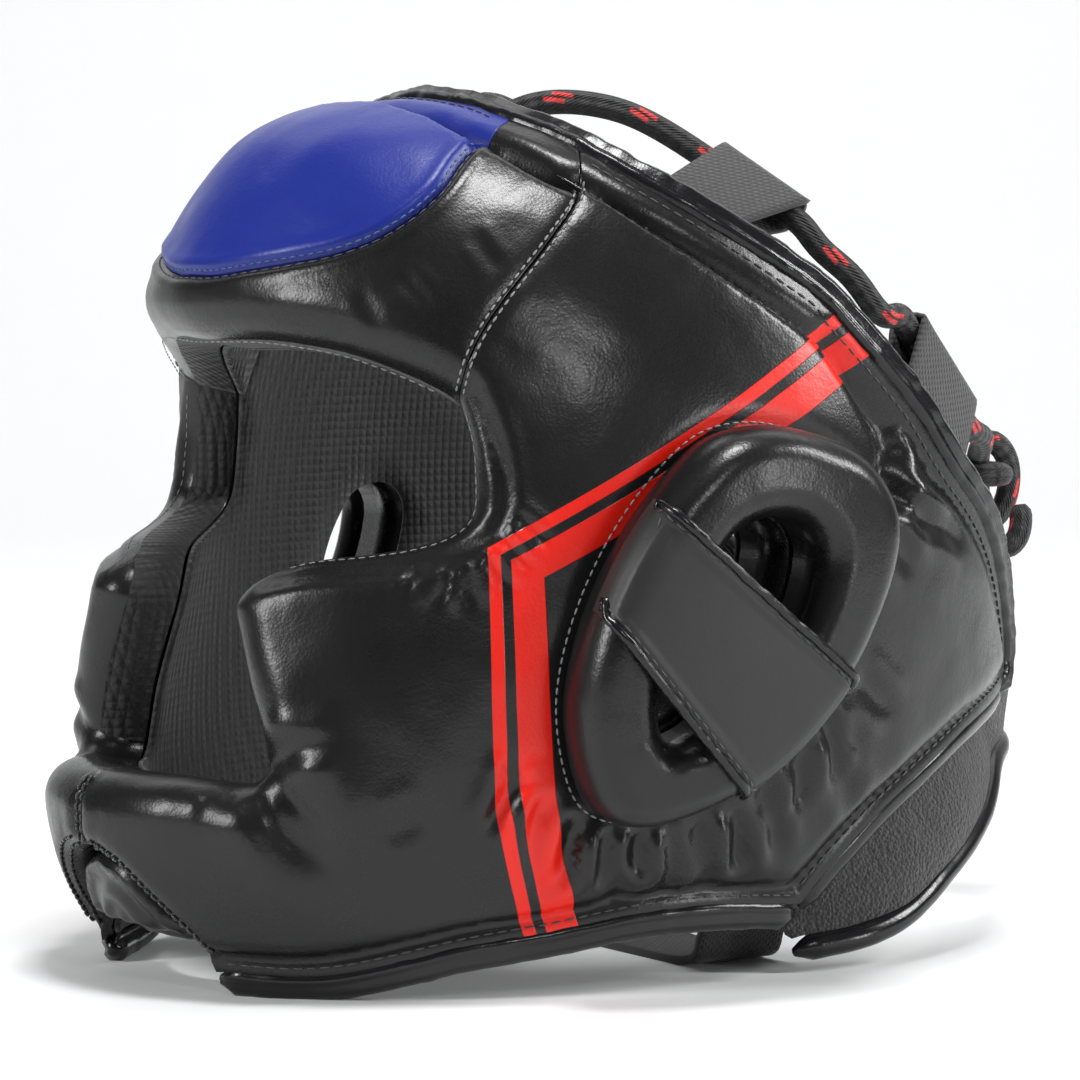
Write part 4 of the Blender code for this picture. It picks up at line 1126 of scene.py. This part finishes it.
crown_run = np.vstack([runs["rear"], runs["temple"][1:], runs["corner"][1:], runs["front"][1:]])
crown_whole = np.vstack([crown_run, mirrored(crown_run)[1:]])
crown_whole = curve_through(crown_whole[::3], 1.5)
crown_trim = bound("crown_edge", crown_whole, beads(4.2, 4.3), wrinkle=0.42, seed=2.0, shift=3.2,
                   crinkle=6.0)
jaw_trim_left = bound("jaw_edge_left", runs["jaw"], beads(4.0, 3.4), seed=3.0, wrinkle=0.34,
                      shift=3.2, crinkle=6.0)
jaw_trim_right = mirror_of(jaw_trim_left, "jaw_edge_right")
nape_trim_left = bound("nape_edge_left", runs["nape"], oval(2.8, 1.5, 14, lift=0.6), seed=4.0,
                       wrinkle=0.15, shift=2.0, crinkle=9.0)
nape_trim_right = mirror_of(nape_trim_left, "nape_edge_right")


gusset_trim = bound("gusset_edge", gusset_edge, beads(3.4, 2.2), shift=2.6, depth=-13.0, seed=5.0,
                    wrinkle=0.3, crinkle=6.0)
ridge = moved(runs["temple"], FLAP_WIDTH + 1.6)[1:-1]
piping_left = roll("ridge_piping_left", trim_leather, place(ridge, side_outer(ridge) + 0.1),
                   normals_at(ridge), oval(0.65, 0.65, 8), wrinkle=0.1)
piping_right = mirror_of(piping_left, "ridge_piping_right")


# Nape straps

nape_edge_run = np.vstack([runs["nape"], curve_through(RUNS["rear"][:3], STEP)])


def nape_piece(side, material, end, lap, stop):
    top = np.array([(min(t, end), r) for t, r in NAPE_STRAP_TOP], float)
    low = np.array([(min(t, end), r) for t, r in NAPE_STRAP_BOTTOM], float)
    keep = np.concatenate([[True], np.any(np.diff(top, axis=0) != 0, axis=1)])
    lower = curve_through(low, STEP)
    outline = np.vstack([curve_through(top[keep], STEP)[:-1],
                         curve_through([top[-1], low[0]], STEP)[:-1], lower[:-1],
                         curve_through([low[-1], top[0]], STEP)[:-1]])

    def middle(points):
        away = distance_to(points, nape_edge_run)
        away = np.where(inside(chart(points), chart(side_cut)), 0.0, away)
        shift = (NAPE_DEPTH + NAPE_FLARE) * smoothstep(0.0, NAPE_FLARE_WIDTH, away)
        over = (NAPE_THICKNESS + NAPE_GAP) * smoothstep(132.0, 148.0, points[:, 0])
        return shift - NAPE_DEPTH + over * lap

    def outer(points):
        return middle(points) + NAPE_THICKNESS / 2 + 0.35 * ripple(points, 16.0, 20.0 + lap)

    piece = panel(f"nape_band_{side}", material, [outline[::-1]], outer,
                  lambda p: middle(p) - NAPE_THICKNESS / 2, rings=(0.4, 1.2, 2.4))
    edge = lower[lower[:, 0] < stop]
    trim = bound(f"nape_band_edge_{side}", edge, oval(3.4, 3.4, 18), shift=-3.4,
                 depth=lambda p: middle(p) + 1.9 * lap * smoothstep(138.0, 152.0, p[:, 0]),
                 seed=6.0 + lap, wrinkle=0.14, crinkle=9.0)
    if side == "left":
        return piece, trim
    pair = mirror_of(piece, piece.name + "_m"), mirror_of(trim, trim.name + "_m")
    for old, new in zip((piece, trim), pair):
        label = old.name
        bpy.data.objects.remove(old)
        new.name = label
    return pair


nape_left, nape_left_trim = nape_piece("left", pile_cloth, 191.0, 0.0, 168.0)
nape_right, nape_right_trim = nape_piece("right", black_leather, 188.0, 1.0, 187.0)


# Chin strap, webbing and the crown loop

def to_row(table):
    return np.array(table) * (HALF_WIDTH, BACK_REACH, HEIGHT) - CENTRED


strap_low = 1.2
jaw_inside = wrap(90.0, 0.158)[0] - wall(90.0) - 1.1 - LINING
strap_half = [(x * jaw_inside, z * HEIGHT + strap_low) for x, z in CHIN_STRAP]
strap_path = strap_half + [(0.0, strap_half[-1][1])] + [(-x, z) for x, z in strap_half[::-1]]
middle_y = 0.12 * BACK_REACH - CENTRED[1]
chin_strap = band("chin_webbing", plain_web, [
    ((x, middle_y - 13.0, z), (x, middle_y + 13.0, z)) for x, z in strap_path], 2.2)


def web_rows(edge, fold):
    edge, fold = np.array(edge, float), np.array(fold, float)
    hidden, open_side = moved(edge, 3.0), moved(edge, -8.0)
    cord = place(fold, -LACE_DEPTH)
    out = place(fold, 1.0 - LACE_DEPTH) - cord
    reach = LACE_RADIUS + LACE_GAP + WEBBING / 2
    rows = [place(hidden, -WEBBING_DEPTH), place(open_side, -WEBBING_DEPTH + 1.5)]
    away = cord - rows[1]
    away -= (away * out).sum(1)[:, None] * out
    away /= np.linalg.norm(away, axis=1)[:, None]
    for angle in np.radians(np.linspace(90, -90, 7)):
        rows.append(cord + reach * (math.cos(angle) * away + math.sin(angle) * out))
    rows.append(place(open_side, -WEBBING_DEPTH - 2.6))
    rows.append(place(hidden, -WEBBING_DEPTH - 2.6))
    return rows, cord


webs, folds = {}, []
for web_name, edge, fold in WEBBING_LOOPS:
    rows, cord_line = web_rows(edge, fold)
    webs[web_name] = band(f"{web_name}_strip_left", web_cloth, rows, WEBBING)
    folds.append(cord_line)
webs_right = {name: mirror_of(obj, f"{name}_strip_right") for name, obj in webs.items()}

loop_middle = to_row([LACE_FRONT[0]])[0]
loop_start = place([(0.0, RUNS["front"][-1][1] + 0.004)], -EDGE_DEPTH - 5.0)[0]
reach = LACE_RADIUS + LACE_GAP + WEBBING / 2
loop_rows = [loop_start] + [loop_middle + reach * np.array([0, math.cos(a), math.sin(a)])
                            for a in np.radians(np.linspace(90, -90, 7))]
loop_rows.append(loop_start - np.array([0.0, 0.0, 2.6]))
crown_loop = band("crown_loop_strip", web_cloth, [
    (row - (3.5, 0, 0), row + (3.5, 0, 0)) for row in loop_rows], WEBBING, step=1.0, columns=6)


# Lace

EASE_ROUNDS = 10


def cord_line(points, step):
    """Samples an even step apart on a curve that doesn't swing past unevenly spaced points."""
    points = np.asarray(points, float)
    gap = np.linalg.norm(np.diff(points, axis=0), axis=1)[:, None]
    slope = np.diff(points, axis=0) / gap
    inner = (slope[:-1] * gap[1:] + slope[1:] * gap[:-1]) / (gap[:-1] + gap[1:])
    slopes = np.vstack([slope[:1], inner, slope[-1:]])
    start, leaving, end, arriving = hermite(SPAN[:, None])
    samples = [points[i] * start + size * slopes[i] * leaving
               + points[i + 1] * end + size * slopes[i + 1] * arriving
               for i, size in enumerate(gap)]
    dense = np.vstack(samples + [points[-1:]])
    along = np.concatenate([[0], np.cumsum(np.linalg.norm(np.diff(dense, axis=0), axis=1))])
    at = np.linspace(0.0, along[-1], round(along[-1] / step) + 1)
    line = np.stack([np.interp(at, along, dense[:, k]) for k in range(3)], axis=1)
    for _ in range(EASE_ROUNDS):
        line[1:-1] = (line[:-2] + 2 * line[1:-1] + line[2:]) / 4
    return line


def tube(name, material, line, radius, sides=20, closed=False):
    """A round braid swept along a line without twisting."""
    line = np.asarray(line, float)
    along = (np.roll(line, -1, axis=0) - np.roll(line, 1, axis=0)) if closed \
        else np.gradient(line, axis=0)
    along /= np.linalg.norm(along, axis=1, keepdims=True)
    side = np.cross(along[0], (0.0, 0.0, 1.0))
    side /= np.linalg.norm(side)
    sides_list = []
    for tangent in along:
        side = side - (side @ tangent) * tangent
        side /= np.linalg.norm(side)
        sides_list.append(side.copy())
    side = np.array(sides_list)
    other = np.cross(along, side)
    travelled = np.concatenate([[0], np.cumsum(np.linalg.norm(np.diff(line, axis=0), axis=1))])
    points, pattern, faces = [], [], []
    count = len(line)
    for i in range(count):
        ease = 1.0 if closed else min(1.0, 0.5 + min(i, count - 1 - i) * 0.4)
        for j in range(sides + 1):
            angle = 2 * math.pi * j / sides
            points.append(line[i] + ease * radius * (math.cos(angle) * side[i]
                                                     + math.sin(angle) * other[i]))
            pattern.append((travelled[i], angle * radius, 0.0))
    width = sides + 1
    for i in range(count if closed else count - 1):
        k = (i + 1) % count
        faces += [(i * width + j, i * width + j + 1, k * width + j + 1, k * width + j)
                  for j in range(sides)]
    if not closed:
        faces.append(tuple(range(sides))[::-1])
        faces.append(tuple((count - 1) * width + j for j in range(sides)))
    obj = add_mesh(name, points, faces, material)
    store(obj, "pattern", pattern)
    return obj


crown_fold, rear_fold = (np.array([a + (b - a) * t for t in (-0.2, 0.0, 0.5, 1.0, 1.2)])
                         for a, b in folds)
lace_half = np.vstack([to_row(LACE_FRONT), crown_fold[::-1], to_row(LACE_MIDDLE), rear_fold[::-1],
                       to_row(LACE_BACK)])
lace_route = np.vstack([to_row(BOW_LEFT)[::-1], lace_half[::-1],
                        (lace_half * (-1, 1, 1))[1:], to_row(BOW_RIGHT)])
lace_line = cord_line(lace_route, 1.5)
lace_length = np.linalg.norm(np.diff(lace_line, axis=0), axis=1).sum()
lace = tube("crown_lace", lace_braid, lace_line, LACE_RADIUS)
knot_middle = to_row([KNOT])[0]
ring = [knot_middle + (11.2 * math.cos(a), 7.6 * math.sin(a), 0.0)
        for a in np.linspace(0, 2 * math.pi, 48, endpoint=False)]
knot = tube("bow_knot", lace_braid, ring, LACE_RADIUS, closed=True)


# Stitches

def stitch_tree():
    """Geometry Nodes: one stitch on each even step of a curve."""
    tree = bpy.data.node_groups.new("stitch_row", "GeometryNodeTree")
    face = tree.interface
    face.new_socket("Geometry", in_out="INPUT", socket_type="NodeSocketGeometry")
    sizes = {}
    for label, value in (("Pitch", 0.0036), ("Length", 0.0026), ("Thickness", 0.0005)):
        socket = face.new_socket(label, in_out="INPUT", socket_type="NodeSocketFloat")
        socket.default_value = value
        sizes[label] = socket.identifier
    socket = face.new_socket("Thread", in_out="INPUT", socket_type="NodeSocketMaterial")
    sizes["Thread"] = socket.identifier
    face.new_socket("Geometry", in_out="OUTPUT", socket_type="NodeSocketGeometry")
    given = tree.nodes.new("NodeGroupInput").outputs

    def made(kind, inputs, **settings):
        return add_node(tree, kind, settings, inputs).outputs[0]

    steps = made("GeometryNodeResampleCurve", {"Curve": given["Geometry"],
                                               "Length": given["Pitch"]}, mode="LENGTH")
    ball = made("GeometryNodeMeshUVSphere", {"Segments": 6, "Rings": 5, "Radius": 0.5})
    size = made("ShaderNodeCombineXYZ", {0: given["Thickness"], 1: given["Thickness"],
                                         2: given["Length"]})
    shape = made("GeometryNodeTransform", {"Geometry": ball, "Scale": size})
    tangent = made("GeometryNodeInputTangent", {})
    turn = made("FunctionNodeAlignRotationToVector", {"Vector": tangent}, axis="Z")
    copies = made("GeometryNodeInstanceOnPoints", {"Points": steps, "Instance": shape,
                                                   "Rotation": turn})
    real = made("GeometryNodeRealizeInstances", {"Geometry": copies})
    paint = made("GeometryNodeSetMaterial", {"Geometry": real, "Material": given["Thread"]})
    add_node(tree, "NodeGroupOutput", {}, {"Geometry": paint})
    return tree, sizes


stitch_group, stitch_inputs = stitch_tree()


def stitches(name, lines, material, pitch=3.6, length=2.7, thickness=0.55):
    """Rows of thread stitches along lines in millimetres."""
    curve = bpy.data.curves.new(name + "_path", "CURVE")
    curve.dimensions = "3D"
    for line in lines:
        spline = curve.splines.new("POLY")
        spline.points.add(len(line) - 1)
        for control, point in zip(spline.points, line):
            control.co = (*(np.asarray(point) * MM), 1.0)
    path = bpy.data.objects.new(name + "_path", curve)
    bpy.context.scene.collection.objects.link(path)
    modifier = path.modifiers.new("Stitches", "NODES")
    modifier.node_group = stitch_group
    for label, value in (("Pitch", pitch * MM), ("Length", length * MM),
                         ("Thickness", thickness * MM), ("Thread", material)):
        modifier[stitch_inputs[label]] = value
    bpy.context.view_layer.update()
    graph = bpy.context.evaluated_depsgraph_get()
    data = bpy.data.meshes.new_from_object(path.evaluated_get(graph), depsgraph=graph)
    data.name = name
    data.shade_smooth()
    if not data.materials:
        data.materials.append(material)
    bpy.data.objects.remove(path)
    obj = bpy.data.objects.new(name, data)
    bpy.context.scene.collection.objects.link(obj)
    return obj


def row(run, shift, surface, lift=0.15, trim=(0, None)):
    """A stitch line beside a run, on a panel's surface."""
    line = moved(run, shift)[trim[0]:trim[1]]
    return place(line, surface(line) + lift)


def both(lines):
    """The lines and their mirror images."""
    return lines + [line * (-1, 1, 1) for line in lines]


seam = runs["forehead_seam"]
seam_rows = both([row(seam, 1.0, side_outer, trim=(5, -1)),
                  row(seam, -1.0, brow_outer, trim=(5, -1))])
blue_rows = [row(blue_line, 1.1, blue_outer, trim=(6, -6))]
under_blue = [row(blue_line, -1.1, brow_outer, trim=(6, -6))]
pad_outside = pulled_in(ear_rim, -1.3)
pad_outside = np.vstack([pad_outside, pad_outside[:1]])
pad_row = place(pad_outside, side_outer(pad_outside) + 0.15)
crown_left = np.vstack([runs["rear"], runs["temple"][1:]])
crown_rows = both([row(crown_left, 3.6, side_outer, trim=(3, -3))])
front_rows = both([row(runs["front"], 3.6, blue_outer, trim=(2, -1))])
jaw_rows = both([row(runs["jaw"], 2.4, side_outer, trim=(2, -2))])
nape_rows = both([row(runs["nape"], 3.4, side_outer, trim=(2, -2))])
gusset_rows = both([row(runs["gusset_seam"], shift, side_outer, lift=0.3, trim=(2, -2))
                    for shift in (1.3, 3.4)]
                   + [row(runs["chin_seam"], 1.2, side_outer, 0.2, (2, -1))])
eye_rows = both([row(runs["eye"], 1.1, side_outer, trim=(2, -2))])

grey_stitches = stitches("seam_stitches", seam_rows + [pad_row, pad_row * (-1, 1, 1)],
                         grey_thread, pitch=2.5, length=1.9, thickness=0.6)
blue_stitches = stitches("blue_stitches", blue_rows, blue_thread, pitch=2.5, length=1.9)
dark_stitches = stitches("dark_stitches", under_blue + crown_rows + front_rows + jaw_rows
                         + nape_rows + both(strap_rows), dark_thread,
                         pitch=3.4, length=2.6)
chain_stitches = stitches("chain_stitches", gusset_rows, glossy_thread, pitch=2.3, length=2.2,
                          thickness=1.1)
brow_row = row(brow_line, 1.1, brow_outer, trim=(3, -3))
eye_stitches = stitches("eye_stitches", eye_rows + [brow_row],
                        grey_thread, pitch=2.6, length=1.9, thickness=0.4)


# What each piece stands for

def sided(name):
    return [f"{name}_left", f"{name}_right"]


def pair_of(name):
    return [webs[name], webs_right[name]]


PIECES = [
    ([side_left, side_right], sided("side_panel"), "black_leather", 0.9),
    ([blue_panel], ["forehead_panel"], "blue_leather", 0.9),
    ([brow_panel], ["brow_panel"], "black_leather", 0.9),
    ([gusset], ["chin_gusset"], "black_leather", 0.6),
    ([pad_left, pad_right], sided("ear_pad"), "black_leather", 0.9),
    ([ear_strap_left, ear_strap_right], sided("ear_strap"), "black_leather", None),
    ([lining_left, lining_right], sided("lining"), "mesh_lining", None),
    ([lining_blue, lining_brow], ["forehead_lining", "brow_lining"], "mesh_lining", None),
    ([crown_trim], ["crown_binding"], "black_leather", None),
    ([jaw_trim_left, jaw_trim_right], sided("jaw_binding"), "black_leather", None),
    ([nape_trim_left, nape_trim_right], sided("nape_binding"), "black_leather", None),
    ([nape_left], ["nape_strap_left"], "black_pile", None),
    ([nape_right], ["nape_strap_right"], "black_leather", None),
    ([nape_left_trim, nape_right_trim], sided("nape_strap_binding"), "black_leather", None),
    ([chin_strap, crown_loop], ["chin_strap", "crown_loop"], "black_webbing", None),
    (pair_of("crown_webbing"), sided("crown_webbing"), "black_webbing", None),
    (pair_of("rear_webbing"), sided("rear_webbing"), "black_webbing", None),
    ([lace, knot], ["lace", "lace_knot"], "lace_braid", None),
]
for objects, nodes, finish, fill in PIECES:
    for obj, node in zip(objects, nodes):
        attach(obj, "root")
        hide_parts(node)
for obj in [grey_stitches, blue_stitches, dark_stitches, eye_stitches, chain_stitches, gusset_trim,
            piping_left, piping_right, *strap_rolls]:
    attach(obj, "root")
tuple(lace_line[0] * MM)
[tuple(p * MM) for p in lace_line]


# Floor, light and camera

CAMERA_TURN, CAMERA_LIFT, CAMERA_DISTANCE = 57.0, 4.0, 1.3
PHOTO_PIXELS, FOCAL_PIXELS, SHIFT_PIXELS = 1080.0, 4875.0, 50.0


def simple(name, colour, roughness):
    finish = Finish(name, Roughness=roughness)
    grain = finish.noise(60.0, 3.0)
    finish.set("Base Color", finish.mixed(grain * 0.08, colour, tuple(c * 0.97 for c in colour)))
    return finish.material


def floor():
    line = [(-4.0, 0.0)] + [(1.6 + 0.8 * math.sin(a), 0.8 - 0.8 * math.cos(a))
                            for a in np.linspace(0, math.pi / 2, 12)] + [(2.4, 2.6)]
    turn = math.radians(CAMERA_TURN)
    ahead = np.array([-math.sin(turn), math.cos(turn)])
    aside = np.array([math.cos(turn), math.sin(turn)])
    points = [(*(ahead * d + aside * s), z) for d, z in line for s in (-4.0, 4.0)]
    faces = [(2 * i, 2 * i + 1, 2 * i + 3, 2 * i + 2) for i in range(len(line) - 1)]
    return add_mesh("studio_floor", np.array(points) / MM, faces, simple(
        "studio_paper", (0.88, 0.885, 0.89), 0.9))


floor()


def lamp(name, place3, target, size, power):
    data = bpy.data.lights.new(name, "AREA")
    data.shape = "RECTANGLE"
    data.size, data.size_y = size
    data.energy = power
    obj = bpy.data.objects.new(name, data)
    obj.location = place3
    obj.rotation_euler = (Vector(target) - Vector(place3)).to_track_quat("-Z", "Y").to_euler()
    bpy.context.scene.collection.objects.link(obj)


target = np.array([0.0, 0.01257, 0.1066])
turn, lift = math.radians(CAMERA_TURN), math.radians(CAMERA_LIFT)
back = np.array([math.sin(turn) * math.cos(lift), -math.cos(turn) * math.cos(lift),
                 math.sin(lift)])
right = np.array([math.cos(turn), math.sin(turn), 0.0])


def from_camera(sideways, up, towards):
    """A place set by the camera's right, up, and towards it, in metres from the headgear."""
    return tuple(target + right * sideways + np.array([0, 0, up]) + back * towards)


for name, place3, size, power in (
        ("overhead", (0.05, 1.3, 0.25), (0.36, 0.3), 14),
        ("left_box", (-1.3, 0.55, 0.7), (0.18, 0.7), 13),
        ("right_box", (1.25, 0.75, 0.1), (0.18, 0.7), 14),
        ("low_right", (1.3, 0.1, 0.9), (0.15, 0.3), 4),
        ("front_fill", (0.5, 0.8, 1.6), (0.2, 0.2), 4)):
    lamp(name, from_camera(*place3), target, size, power)
lamp("paper_light", from_camera(0.0, 1.9, -1.3), from_camera(0, 0.4, -2.2), (3.0, 1.5), 30)

world = bpy.data.worlds.new("studio")
bpy.context.scene.world = world
world.use_nodes = True
world.node_tree.nodes["Background"].inputs[0].default_value = (1.0, 1.0, 1.0, 1.0)
world.node_tree.nodes["Background"].inputs[1].default_value = 0.08

camera = bpy.data.cameras.new("camera")
camera.sensor_width = 36.0
camera.lens = 36.0 * FOCAL_PIXELS / PHOTO_PIXELS
camera.shift_x = -SHIFT_PIXELS / PHOTO_PIXELS
camera_object = bpy.data.objects.new("camera", camera)
camera_object.location = target + back * CAMERA_DISTANCE
camera_object.rotation_euler = Vector(-back).to_track_quat("-Z", "Y").to_euler()
bpy.context.scene.collection.objects.link(camera_object)
bpy.context.scene.camera = camera_object
bpy.context.scene.view_settings.view_transform = "Standard"
